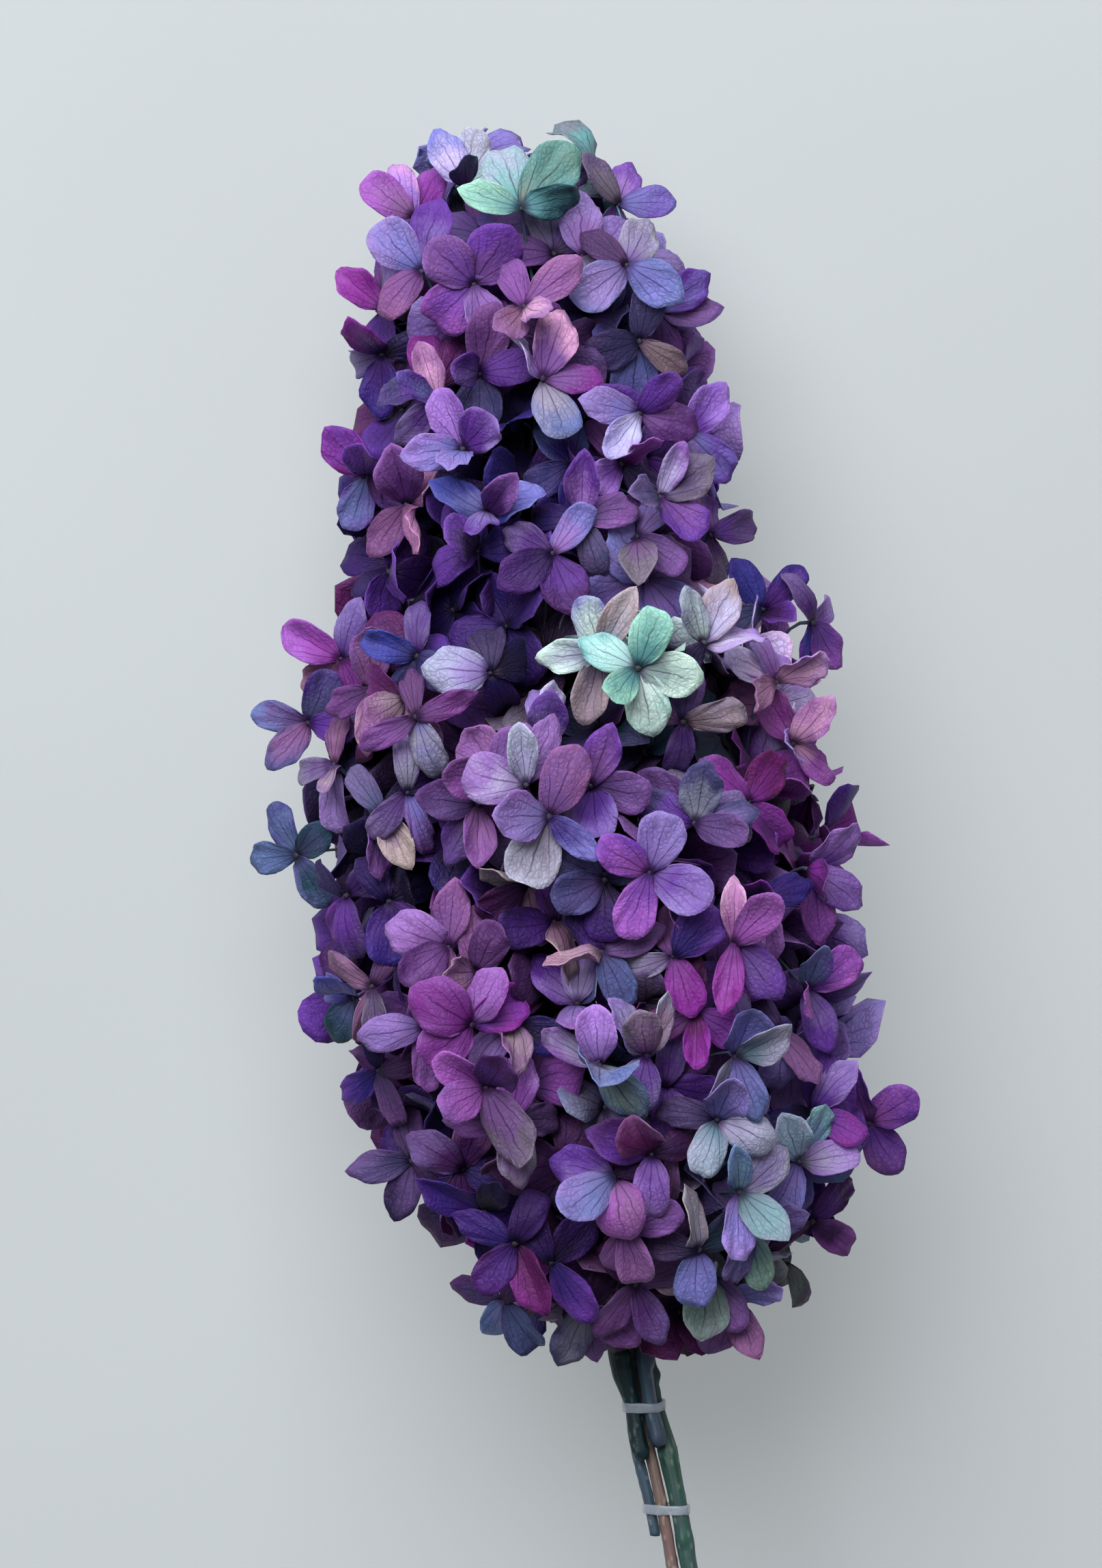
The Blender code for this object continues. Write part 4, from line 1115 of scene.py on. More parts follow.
def build_florets(name, florets, columns, rows, material, replaced):
    """One piece with all the petals of these florets."""
    across = np.linspace(-1, 1, columns)
    along = np.linspace(0, 1, rows) ** 0.85
    sheets = np.concatenate([in_place(petal_sheets(f.petals, across, along), f.centre, f.axes) for f in florets])
    petals = np.concatenate([f.petals for f in florets])
    first, second, lean = (np.array(values) for values in zip(*[dyes for f in florets for dyes in f.dyes]))
    seeds = np.array([number * 7.31 + k * 1.7 for number, f in enumerate(florets) for k in range(len(f.petals))])
    s = across[None, None, :]
    v = along[None, :, None]
    # Thicker towards the claw and along the middle vein, thinner at the rim
    thick = PETAL_THICKNESS * (1 + 1.1 * (1 - v[0]) ** 2 + 0.4 * np.exp(-((s[0] / 0.08) ** 2)) * (1 - v[0]))
    thick = thick * np.where(v[0] > 0.97, 0.7, 1.0)
    points, quads, rim, side = thick_sheets(sheets, thick)
    piece = new_piece(name, points, [quads], material, "petals", replaced, flat=rim)

    count = len(petals)
    size = columns * rows
    angle = s * FAN_HALF_ANGLE
    x = petals[:, AT["half_width"], None, None] * np.sin(angle) * v
    forward = np.where(np.cos(angle) > 0, 0.4, 0.56) * np.cos(angle)
    y = petals[:, AT["length"], None, None] * (0.6 + forward) * v
    seed = np.broadcast_to(seeds[:, None, None], x.shape)
    place = np.stack([x, y, seed], -1).reshape(count, 1, size, 3)
    paint(piece, "petal_place", "FLOAT_VECTOR", np.broadcast_to(place, (count, 2, size, 3)))
    way = np.stack(np.broadcast_arrays(s, v), -1).reshape(1, 1, size, 2)
    way = np.broadcast_to(way, (count, 2, size, 2)).reshape(-1, 2)
    paint(piece, "petal_way", "FLOAT_VECTOR", np.concatenate([way, side[:, None]], 1))
    # Painted shade: the dye colours darken and turn more purple deeper inside the head
    shade = painted_depth_shade(sheets).reshape(count, 1, size, 3)
    for label, colours in (("dye", first), ("dye_two", second)):
        rgb = np.broadcast_to(colours[:, None, None, :] * shade, (count, 2, size, 3))
        paint(piece, label, "FLOAT_COLOR", rgb.reshape(-1, 3))
    paint(piece, "dye_lean", "FLOAT", np.repeat(lean, 2 * size))


def build_buttons(name, florets, radius, material, replaced):
    """The small buds in the middle of the florets, as one piece."""
    rings = np.array(((0.9, -0.5), (1.0, 0.2), (0.5, 0.75)))
    sides = 7
    turn = np.arange(sides) * 2 * math.pi / sides
    lobes = 1 + 0.12 * np.cos(4 * turn + 0.4)
    shell = np.stack([
        rings[:, 0, None] * lobes * np.cos(turn),
        rings[:, 0, None] * lobes * np.sin(turn),
        np.broadcast_to(rings[:, 1, None], (len(rings), sides)),
    ], -1).reshape(-1, 3)
    shell = np.concatenate([shell, [(0, 0, -0.8), (0, 0, 0.74)]])
    points, tints = [], []
    for k, floret in enumerate(florets):
        size = radius * (0.9 + 0.25 * math.sin(k * 2.4) ** 2)
        points.append(off_floor(floret.centre + (shell * size + (0, 0, 0.35)) @ floret.axes))
        tints.append(np.repeat([floret.dyes[0][0] * 0.06 + linear((20, 14, 30)) * 0.5], len(shell), 0))
    offsets = (np.arange(len(florets)) * len(shell))[:, None, None]
    faces = [(group[None] + offsets).reshape(-1, group.shape[1]) for group in tube_faces(len(rings), sides)]
    piece = new_piece(name, np.concatenate(points), faces, material, "petals", replaced)
    paint(piece, "dye", "FLOAT_COLOR", np.concatenate(tints))


# Twigs, stems and bands

CLUSTER = 5.0  # florets that share a branch
CLUSTER_ROUNDS = 8
KNOT_GAP = 20.0  # from where a branch divides to the middle of its cluster
TRUNK_END = 0.8  # radius of a branch where it divides
STALK = np.array((0.62, 0.48, 0.43, 0.4, 0.4, 0.42, 0.5, 0.62))  # radii of a floret's stalk
TWIG_DYES = ((30, 34, 58), (22, 54, 66), (58, 30, 72))
FOOT_INSET = 0.4  # a bark's ends lie this far inside its CAD stem's
TOP_INSET = 0.3
STRIP_STEPS = 96
STRIP_GAP = 0.12  # between a strip and the stems


def swept(line, radii, sides, ridge=1.0):
    """Points and faces of a closed tube along a line. ridge gives each point's share of the radius."""
    line = np.asarray(line, float)
    along = unit(np.gradient(line, axis=0))
    guide = np.array((0.0, 0.0, 1.0)) if abs(along[:, 2]).mean() < 0.8 else np.array((1.0, 0.0, 0.0))
    x = unit(np.cross(guide, along))
    y = np.cross(along, x)
    turn = np.arange(sides) * 2 * math.pi / sides
    ring = x[:, None, :] * np.cos(turn)[None, :, None] + y[:, None, :] * np.sin(turn)[None, :, None]
    reach = np.asarray(radii, float)[:, None] * ridge * np.ones(sides)
    points = line[:, None, :] + ring * reach[..., None]
    return np.concatenate([points.reshape(-1, 3), line[:1], line[-1:]]), tube_faces(len(line), sides)


def bezier(a, b, c, d, steps):
    t = np.linspace(0, 1, steps)[:, None]
    return a * (1 - t) ** 3 + 3 * b * t * (1 - t) ** 2 + 3 * c * t * t * (1 - t) + d * t ** 3


def twig_groups(florets, size, draw):
    """Florets of one spray in small clusters that share a branch."""
    centres = np.array([f.centre for f in florets])
    count = max(1, round(len(florets) / size))
    seeds = centres[draw.choice(len(centres), count, replace=False)]
    for _ in range(CLUSTER_ROUNDS):
        owner = np.linalg.norm(centres[:, None] - seeds[None], axis=2).argmin(1)
        seeds = np.array([centres[owner == k].mean(0) if (owner == k).any() else seeds[k] for k in range(count)])
    return [[f for f, o in zip(florets, owner) if o == k] for k in range(count) if (owner == k).any()]


def stem_section(name, y):
    """Middle and radius of a CAD stem where it crosses a level, or None past its ends."""
    if name not in PLAN:
        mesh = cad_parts[name].data
        points = np.zeros(len(mesh.vertices) * 3)
        mesh.vertices.foreach_get("co", points)
        edges = np.zeros(len(mesh.edges) * 2, int)
        mesh.edges.foreach_get("vertices", edges)
        PLAN[name] = (points.reshape(-1, 3) / MM)[edges.reshape(-1, 2)]
    low, high = PLAN[name][:, 0], PLAN[name][:, 1]
    crossing = (low[:, 1] - y) * (high[:, 1] - y) < 0
    if crossing.sum() < 4:
        return None
    low, high = low[crossing], high[crossing]
    share = ((y - low[:, 1]) / (high[:, 1] - low[:, 1]))[:, None]
    cut = low + (high - low) * share
    middle = (cut.max(0) + cut.min(0)) / 2
    across = np.linalg.norm(cut - middle, axis=1)
    return middle, float(across.mean())


def stem_line(name, step, inner_step=None):
    """Middles and radii of a CAD stem, from its cut end up. inner_step is the step inside the head."""
    low, high = (np.array(corner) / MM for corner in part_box(name))
    start, end = low[1] + FOOT_INSET, high[1] - TOP_INSET
    levels = np.arange(start, end, step)
    if inner_step:
        foot = min(HEAD_FOOT, end)
        levels = np.concatenate([np.arange(start, foot, step), np.arange(foot, end, inner_step)])
    found = [section for section in (stem_section(name, y) for y in levels) if section]
    return tuple(np.array(values) for values in zip(*found))


def build_twigs(name, spray, florets, draw, material):
    """Branches of one spray, from its stem's inner end out to every floret."""
    line, radii = stem_line(f"stem_{spray}", 4.0)
    crown, thickest = line[-1], max(radii[-1] * 0.7, 1.0)
    points, quads, ends, tints, ways = [], [], [], [], []
    base = 0

    def add(path, thick, sides, tint):
        nonlocal base
        made, (tube, caps) = swept(off_floor(path), thick, sides)
        points.append(made)
        quads.append(tube + base)
        ends.append(caps + base)
        tints.append(np.repeat([tint], len(made), 0))
        length = np.concatenate([np.repeat(np.arange(len(path)) * 2.0, sides), (0.0, 0.0)])
        ring = np.concatenate([np.tile(np.arange(sides) * 1.0, len(path)), (0.0, 0.0)])
        ways.append(np.stack([ring, length, np.full(len(made), base * 0.13 % 50)], 1))
        base += len(made)

    for group in twig_groups(florets, CLUSTER, draw):
        centre = np.mean([f.centre for f in group], 0)
        inward = unit(crown - centre)
        reach = np.linalg.norm(crown - centre)
        knot = centre + inward * min(KNOT_GAP, reach * 0.45) + draw.normal(0, 1.2, 3)
        tint = linear(TWIG_DYES[draw.integers(3)]) * draw.uniform(0.7, 1.3)
        middle = (knot + crown) / 2 + draw.normal(0, 3.0, 3)
        trunk = bezier(crown, crown + (middle - crown) * 0.6, middle, knot, 10)
        add(trunk, np.linspace(thickest, TRUNK_END, len(trunk)), 7, tint)
        for floret in group:
            hub = floret.centre - floret.axes[2] * 0.4
            gap = np.linalg.norm(hub - knot)
            pull = min(9.0, gap * 0.45)
            path = bezier(
                knot, knot + unit(hub - knot) * gap * 0.35 + draw.normal(0, 0.8, 3),
                hub - floret.axes[2] * pull, hub, len(STALK),
            )
            add(path, STALK, 5, tint * draw.uniform(0.8, 1.3))
    faces = [np.concatenate(quads), np.concatenate(ends)]
    piece = new_piece(name, np.concatenate(points), faces, material, "petals", (f"{spray}_spray",))
    paint(piece, "dye", "FLOAT_COLOR", np.concatenate(tints))
    paint(piece, "bark_way", "FLOAT_VECTOR", np.concatenate(ways))


def stem_forms(name, line, radii, turn, settings):
    """Height in mm of a stem's joints, leaf scars and pores over its rings, and where its pores are."""
    draw = np.random.default_rng([SEED, *name.encode()])
    y = line[:, 1][:, None]
    low, high = line[0, 1], line[-1, 1]
    height = np.zeros((len(line), len(turn)))
    pores = np.zeros_like(height)

    def round_from(angle):
        return np.abs((turn - angle + math.pi) % (2 * math.pi) - math.pi)

    bands = [sum(corner[1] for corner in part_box(band)) / 2 / MM for band in BANDS]
    at, side = low + draw.uniform(9, 26), draw.uniform(0, math.pi)
    while at < high - 8:
        if min(abs(at - band) for band in bands) > 6:
            height += 0.28 * np.exp(-((y - at) / 2.6) ** 2)
            for angle in (side, side + math.pi):
                scar = round_from(angle)
                height += 0.6 * np.exp(-((y - at - 1.4) / 1.5) ** 2 - (scar / 0.42) ** 2)
                height -= 0.3 * np.exp(-((y - at + 1.3) / 0.8) ** 2 - (scar / 0.6) ** 2)
        side += math.pi / 2 + draw.normal(0, 0.15)
        at += draw.uniform(24, 42)
    for _ in range(int(min(high, HEAD_FOOT) - low) * settings.pores // 10):
        at, angle, long = draw.uniform(low, HEAD_FOOT), draw.uniform(0, 2 * math.pi), draw.uniform(0.7, 1.4)
        spot = np.exp(-((y - at) / long) ** 2 - (round_from(angle) * radii[:, None] / 0.42) ** 2)
        height += 0.15 * spot
        pores = np.maximum(pores, spot)
    return height, pores


def build_stem(name, settings, material):
    """A stem along its CAD line, with bark ridges, its joints, leaf scars and pores, and cut ends."""
    line, radii = stem_line(name, in_mm(settings.ring_step), in_mm(settings.inner_step))
    sides = settings.sides
    turn = np.arange(sides) * 2 * math.pi / sides
    seed = sum(ord(letter) for letter in name) % 17
    y = line[:, 1][:, None]
    ridge = (
        1
        + settings.ridge * np.sin(7 * turn + 0.05 * y + seed)
        + 0.6 * settings.ridge * np.sin(11 * turn - 0.08 * y + 2 * seed)
        + 0.5 * settings.ridge * np.sin(3 * turn + 0.21 * y)
    )
    height, pores = stem_forms(name, line, radii, turn, settings)
    points, faces = swept(line, radii, sides, ridge + height / radii[:, None])
    piece = new_piece(name + "_bark", points, faces, material, STEMS[name], (name,))
    way = points - np.concatenate([np.repeat(line, sides, 0), line[:1], line[-1:]])
    way[:, 1] = points[:, 1]
    way[:, 2] += 9 * seed
    end_mask = np.zeros(len(points))
    end_mask[-2:] = 1
    paint(piece, "bark_way", "FLOAT_VECTOR", way)
    paint(piece, "pore", "FLOAT", np.concatenate([pores.ravel(), (0.0, 0.0)]))
    paint(piece, "cut_end", "FLOAT", end_mask)


def hull_loop(y, offset):
    """The outline of a strip stretched round the stems at a level, as x and z."""
    circles = [found for found in (stem_section(name, y) for name in STEMS) if found]
    turn = np.arange(STRIP_STEPS) * 2 * math.pi / STRIP_STEPS
    way = np.stack([np.cos(turn), np.sin(turn)], 1)
    middles = np.array([(c[0][0], c[0][2]) for c in circles])
    radii = np.array([c[1] * 1.04 for c in circles]) + offset
    owner = (middles @ way.T + radii[:, None]).argmax(0)
    loop = middles[owner] + way * radii[owner][:, None]
    # Even out the spacing, so that the straight runs get points too
    closed = np.concatenate([loop, loop[:1]])
    walked = np.concatenate([[0], np.cumsum(np.linalg.norm(np.diff(closed, axis=0), axis=1))])
    at = np.linspace(0, walked[-1], STRIP_STEPS + 1)[:-1]
    return np.stack([np.interp(at, walked, closed[:, 0]), np.interp(at, walked, closed[:, 1])], 1)


def build_band(name, settings, material):
    """A clear elastic strip stretched round the stems, slightly crowned, with a wave along its edges.

    Its profile goes round the strip as shares of its width and of its thickness."""
    low, high = (np.array(corner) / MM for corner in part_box(name))
    y = (low[1] + high[1]) / 2
    width = (high[1] - low[1]) - 0.1
    profile = np.array((
        (-0.5, 0.05), (-0.5, 0.62), (-0.42, 0.92), (-0.18, 1.0), (0.18, 1.0), (0.42, 0.92), (0.5, 0.62),
        (0.5, 0.05), (0.2, 0.0), (-0.2, 0.0),
    ))
    inner = hull_loop(y, STRIP_GAP)
    outer = hull_loop(y, STRIP_GAP + in_mm(settings.thickness))
    turn = np.arange(STRIP_STEPS) * 2 * math.pi / STRIP_STEPS
    wave = 0.10 * np.sin(3 * turn + 1.1) + 0.05 * np.sin(7 * turn)
    points = []
    for across, out in profile:
        ring = inner + (outer - inner) * out
        points.append(np.stack([ring[:, 0], y + across * width + wave * np.sign(across) * 0.6, ring[:, 1]], 1))
    points = np.stack(points, 1).reshape(-1, 3)
    count = len(profile)
    quads = ring_quads(STRIP_STEPS, count, closed=True)[:, (0, 3, 2, 1)]
    piece = new_piece(name + "_strip", points, [quads], material, "clear_band", (name,))
    across = np.tile(profile[:, 0] * width, STRIP_STEPS)
    paint(piece, "strip_way", "FLOAT_VECTOR", np.stack([np.repeat(turn * 8, count), across, np.ones(len(across))], 1))


# Materials


class Wiring:
    """Short ways to add nodes to one node tree and join them."""

    def __init__(self, tree):
        self.tree = tree

    def add(self, kind, **settings):
        node = self.tree.nodes.new(kind)
        for name, value in settings.items():
            setattr(node, name, value)
        return node

    def join(self, value, socket):
        if isinstance(value, bpy.types.NodeSocket):
            self.tree.links.new(value, socket)
        else:
            socket.default_value = value

    def first(self, node, *values):
        """A node's first output, once its first inputs are given."""
        for value, socket in zip(values, node.inputs):
            self.join(value, socket)
        return node.outputs[0]

    def named(self, node, values):
        """A node's outputs, once the inputs of these names are given."""
        for name, value in values.items():
            self.join(value, node.inputs[name])
        return node.outputs

    def math(self, operation, *values, clamp=False):
        return self.first(self.add("ShaderNodeMath", operation=operation, use_clamp=clamp), *values)

    def vector(self, operation, *values):
        return self.first(self.add("ShaderNodeVectorMath", operation=operation), *values)

    def combine(self, *values):
        return self.first(self.add("ShaderNodeCombineXYZ"), *values)

    def split(self, vector):
        return self.named(self.add("ShaderNodeSeparateXYZ"), {"Vector": vector})

    def times(self, a, b):
        return self.math("MULTIPLY", a, b)

    def plus(self, a, b, clamp=False):
        return self.math("ADD", a, b, clamp=clamp)

    def minus(self, a, b):
        return self.math("SUBTRACT", a, b)

    def most(self, a, b, clamp=False):
        return self.math("MAXIMUM", a, b, clamp=clamp)

    def range(self, value, low, high, new_low=0.0, new_high=1.0):
        """Turns a range into another one, with soft ends."""
        node = self.add("ShaderNodeMapRange", interpolation_type="SMOOTHSTEP")
        names = ("Value", "From Min", "From Max", "To Min", "To Max")
        return self.named(node, dict(zip(names, (value, low, high, new_low, new_high))))[0]

    def mix(self, factor, a, b, blend="MIX"):
        node = self.add("ShaderNodeMix", data_type="RGBA", blend_type=blend)
        node.clamp_factor = True
        self.join(factor, node.inputs[0])
        self.join(a, node.inputs[6])
        self.join(b, node.inputs[7])
        return node.outputs[2]

    def noise(self, vector, scale, detail=2.0, rough=0.5):
        node = self.add("ShaderNodeTexNoise")
        return self.named(node, {"Vector": vector, "Scale": scale, "Detail": detail, "Roughness": rough})[0]

    def cells(self, vector, scale, feature="DISTANCE_TO_EDGE"):
        node = self.add("ShaderNodeTexVoronoi", feature=feature)
        return self.named(node, {"Vector": vector, "Scale": scale})["Distance"]

    def attribute(self, name):
        return self.add("ShaderNodeAttribute", attribute_name=name).outputs

    def group(self, made, **values):
        """A shared group's outputs. Its sockets are named with spaces, the values here with underscores."""
        node = self.add("ShaderNodeGroup", node_tree=made)
        return self.named(node, {name.replace("_", " ").capitalize(): value for name, value in values.items()})


def new_group(name, inputs, outputs):
    """An empty shader node group with named sockets, and the wiring to fill it."""
    made = bpy.data.node_groups.new(name, "ShaderNodeTree")
    for label, kind in inputs.items():
        made.interface.new_socket(label, in_out="INPUT", socket_type=kind)
    for label, kind in outputs.items():
        made.interface.new_socket(label, in_out="OUTPUT", socket_type=kind)
    wire = Wiring(made)
    entry = wire.add("NodeGroupInput")
    leave = wire.add("NodeGroupOutput")
    return made, wire, entry.outputs, leave.inputs


FLOAT, VECTOR = "NodeSocketFloat", "NodeSocketVector"


def petal_vein_group():
    """Veins that fan out of the claw, their branches and the net between them."""
    made, wire, given, out = new_group(
        "Petal veins",
        {"Way": VECTOR, "Place": VECTOR, "Vein width": FLOAT, "Net size": FLOAT},
        {"Veins": FLOAT, "Net": FLOAT, "Relief": FLOAT},
    )
    s, v, _ = wire.split(given["Way"])
    wander = wire.noise(given["Place"], 0.20, 2.0)
    fine = wire.noise(given["Place"], 0.75, 2.0)
    drift = wire.times(wire.minus(wander, 0.5), 0.34)
    drift = wire.plus(drift, wire.times(wire.minus(fine, 0.5), 0.075))
    reach = wire.most(v, 0.06)

    def lines(spacing, between, widen):
        turned = wire.plus(s, wire.times(drift, v))
        part = wire.math("PINGPONG", wire.plus(turned, spacing * 10), spacing / 2)
        gap = wire.minus(spacing / 2, part) if between else part
        distance = wire.times(wire.times(gap, reach), 15.0)
        width = wire.times(given["Vein width"], widen)
        return wire.range(distance, 0.0, width, 1.0, 0.0)

    main = wire.times(lines(0.40, False, 1.0), wire.range(v, 0.45, 1.0, 1.0, 0.30))
    branch = wire.times(lines(0.40, True, 0.75), wire.range(v, 0.30, 0.55, 0.0, 0.6))
    branch = wire.times(branch, wire.range(v, 0.8, 1.0, 1.0, 0.4))
    stretched = wire.vector("MULTIPLY", given["Place"], (1.0, 0.8, 1.0))
    jog = wire.combine(wire.times(fine, 1.1), wire.times(wander, 2.2), 0.0)
    edge = wire.cells(wire.vector("ADD", stretched, jog), wire.math("DIVIDE", 1.0, given["Net size"]))
    net = wire.range(edge, 0.0, 0.16, 1.0, 0.0)
    net = wire.times(net, wire.range(v, 0.15, 0.4, 0.0, 1.0))
    net = wire.times(net, wire.range(wander, 0.35, 0.62, 0.25, 1.0))
    veins = wire.most(main, branch, clamp=True)
    quilt = wire.times(wire.range(edge, 0.0, 0.36), wire.range(v, 0.15, 0.5, 0.2, 1.0))
    relief = wire.minus(wire.times(quilt, 0.8), wire.times(veins, 0.7))
    grain = wire.noise(given["Place"], 3.2, 2.0)
    relief = wire.plus(relief, wire.times(grain, 0.22))
    wire.join(veins, out["Veins"])
    wire.join(net, out["Net"])
    wire.join(relief, out["Relief"])
    return made


def dye_drift_group():
    """Slow mottling, where one dye runs into another."""
    made, wire, given, out = new_group(
        "Dye drift",
        {"Place": VECTOR, "Scale": FLOAT, "Sharpness": FLOAT, "Lean": FLOAT},
        {"Mask": FLOAT, "Fleck": FLOAT},
    )
    slow = wire.noise(given["Place"], given["Scale"], 2.0, 0.55)
    spread = wire.times(wire.minus(slow, 0.5), given["Sharpness"])
    wire.join(wire.plus(wire.plus(spread, 0.5), given["Lean"], clamp=True), out["Mask"])
    wire.join(wire.noise(given["Place"], 2.6, 3.0, 0.6), out["Fleck"])
    return made


def bark_group():
    """Long streaks, small pores and the fine relief of bark, in a frame whose y runs along the bark."""
    made, wire, given, out = new_group(
        "Bark",
        {"Way": VECTOR, "Streak scale": FLOAT, "Pore size": FLOAT},
        {"Streaks": FLOAT, "Pores": FLOAT, "Relief": FLOAT},
    )
    long = wire.vector("MULTIPLY", given["Way"], (1.0, 0.09, 1.0))
    streaks = wire.noise(long, given["Streak scale"], 4.0, 0.6)
    short = wire.vector("MULTIPLY", given["Way"], (1.0, 0.4, 1.0))
    pores = wire.cells(short, wire.math("DIVIDE", 1.0, given["Pore size"]), "F1")
    pores = wire.range(pores, 0.08, 0.24, 1.0, 0.0)
    fine = wire.noise(given["Way"], 2.4, 3.0, 0.6)
    relief = wire.plus(wire.times(streaks, 0.7), wire.times(pores, 0.35))
    relief = wire.plus(relief, wire.times(fine, 0.25))
    wire.join(wire.range(streaks, 0.32, 0.68), out["Streaks"])
    wire.join(pores, out["Pores"])
    wire.join(relief, out["Relief"])
    return made


GROUPS = {}


def shared_group(name):
    makers = {"veins": petal_vein_group, "drift": dye_drift_group, "bark": bark_group}
    if name not in GROUPS:
        GROUPS[name] = makers[name]()
    return GROUPS[name]


def new_material(name, roughness, **fixed):
    """A material with one principled shader, whose even values are set on its own sockets."""
    made = bpy.data.materials.new(name)
    made.use_nodes = True
    made.node_tree.nodes.clear()
    wire = Wiring(made.node_tree)
    shader = wire.add("ShaderNodeBsdfPrincipled")
    shader.inputs["Roughness"].default_value = roughness
    for label, value in fixed.items():
        shader.inputs[label.replace("_", " ")].default_value = value
    out = wire.add("ShaderNodeOutputMaterial")
    wire.join(shader.outputs[0], out.inputs[0])
    return made, wire, shader


def dress(wire, shader, colour, roughness, height, strength, distance):
    """Joins a finish's colour, its roughness and the height of its relief to the shader."""
    wire.join(colour, shader.inputs["Base Color"])
    wire.join(roughness, shader.inputs["Roughness"])
    bump = wire.add("ShaderNodeBump")
    bump.inputs["Strength"].default_value = strength
    bump.inputs["Distance"].default_value = distance
    wire.join(height, bump.inputs["Height"])
    wire.join(bump.outputs[0], shader.inputs["Normal"])


def petal_material(settings):
    """Dry petal tissue: two dyes that drift into each other, veins, net, a dark claw with painted shade past it, a
    paler back, and a paler rim that is partly painted highlight.
    """
    made, wire, shader = new_material(
        "Dyed petal", 0.62, Sheen_Weight=settings.sheen, Sheen_Roughness=0.45, Specular_IOR_Level=0.35,
        Specular_Tint=(0.78, 0.55, 1.0, 1),
    )
    way = wire.attribute("petal_way")["Vector"]
    place = wire.attribute("petal_place")["Vector"]
    first = wire.attribute("dye")["Color"]
    second = wire.attribute("dye_two")["Color"]
    lean = wire.attribute("dye_lean")["Fac"]
    _, v, side = wire.split(way)
    _, out_y, _ = wire.split(place)
    veins = wire.group(
        shared_group("veins"), Way=way, Place=place,
        Vein_width=in_mm(settings.vein_width), Net_size=in_mm(settings.net_size),
    )
    outwards = wire.times(wire.minus(v, 0.6), 0.9)
    lean = wire.plus(lean, outwards)
    drift = wire.group(shared_group("drift"), Place=place, Scale=0.11, Sharpness=2.3, Lean=lean)
    colour = wire.mix(drift["Mask"], first, second)
    pale = wire.mix(1.0, wire.mix(1.0, colour, (2.1, 2.2, 2.0, 1), "MULTIPLY"), (0.05, 0.05, 0.055, 1), "ADD")
    # The rim is paler partly from the dye's pale edge and partly as a painted highlight of light shining through the
    # thin edge; the back is paler tissue
    rim = wire.range(v, 0.955, 1.0)
    back = wire.times(side, 0.12)
    colour = wire.mix(wire.times(drift["Fleck"], 0.12), colour, pale)
    colour = wire.mix(wire.plus(wire.times(rim, 0.2), back), colour, pale)
    dark = wire.mix(1.0, colour, (*settings.vein_colour, 1), "MULTIPLY")
    # A dark claw, and a weaker darkening out to 10 mm from the floret's middle that is painted shade
    claw = wire.most(wire.range(out_y, 0.4, 4.4, 0.9, 0.0), wire.range(out_y, 1.0, 10.0, 0.42, 0.0))
    lines = wire.times(veins["Veins"], settings.vein_depth)
    net = wire.times(veins["Net"], wire.plus(settings.net_depth, wire.times(side, 0.12)))
    marks = wire.most(wire.most(lines, net), claw, clamp=True)
    colour = wire.mix(marks, colour, dark)
    rough = wire.range(drift["Fleck"], 0.3, 0.7, 0.46, 0.64)
    dress(wire, shader, colour, rough, veins["Relief"], settings.relief, 0.00025)
    return made


def button_material():
    made, wire, shader = new_material("Floret bud", 0.7)
    tint = wire.attribute("dye")["Color"]
    place = wire.vector("SCALE", wire.add("ShaderNodeTexCoord").outputs["Object"])
    place.node.inputs["Scale"].default_value = 1 / MM
    fleck = wire.noise(place, 1.6, 3.0, 0.6)
    lighter = wire.mix(1.0, tint, (0.05, 0.045, 0.06, 1), "SCREEN")
    colour = wire.mix(wire.range(fleck, 0.4, 0.7), tint, lighter)
    dress(wire, shader, colour, wire.range(fleck, 0.3, 0.7, 0.55, 0.85), fleck, 0.6, 0.0004)
    return made


def twig_material():
    made, wire, shader = new_material("Dyed twig", 0.6)
    tint = wire.attribute("dye")["Color"]
    way = wire.attribute("bark_way")["Vector"]
    bark = wire.group(shared_group("bark"), Way=way, Streak_scale=0.9, Pore_size=2.2)
    lighter = wire.mix(1.0, tint, (0.07, 0.08, 0.12, 1), "SCREEN")
    colour = wire.mix(bark["Streaks"], tint, lighter)
    dress(wire, shader, colour, wire.range(bark["Streaks"], 0.0, 1.0, 0.45, 0.7), bark["Relief"], 0.5, 0.0003)
    return made


# Stem finishes: streak colour, pore colour, and how strongly it streaks
STEM_DYES = {
    "green_stem": ((70, 72, 92), (132, 150, 136), 0.6),
    "tan_stem": ((118, 80, 94), (182, 168, 150), 0.7),
    "slate_stem": ((54, 96, 98), (140, 146, 156), 0.7),
    "teal_stem": ((6, 22, 32), (96, 124, 126), 0.6),
}


def stem_material(finish, main):
    streak, pore, strength = STEM_DYES[finish]
    made, wire, shader = new_material(finish.replace("_", " ").capitalize(), 0.5)
    way = wire.attribute("bark_way")["Vector"]
    cut = wire.attribute("cut_end")["Fac"]
    bark = wire.group(shared_group("bark"), Way=way, Streak_scale=0.55, Pore_size=3.4)
    drift = wire.group(shared_group("drift"), Place=way, Scale=0.035, Sharpness=3.0, Lean=-0.1)
    colour = wire.mix(wire.times(bark["Streaks"], strength), (*main, 1), (*linear(streak), 1))
    colour = wire.mix(drift["Mask"], colour, (*(main * 0.32), 1))
    colour = wire.mix(wire.times(bark["Pores"], 0.7), colour, (*(main * 0.3), 1))
    raised = wire.attribute("pore")["Fac"]
    colour = wire.mix(wire.range(raised, 0.25, 0.8, 0.0, 0.42), colour, (*linear(pore), 1))
    colour = wire.mix(cut, colour, (*linear((150, 132, 108)), 1))
    dress(wire, shader, colour, wire.range(bark["Streaks"], 0.0, 1.0, 0.38, 0.62), bark["Relief"], 0.6, 0.0005)
    return made


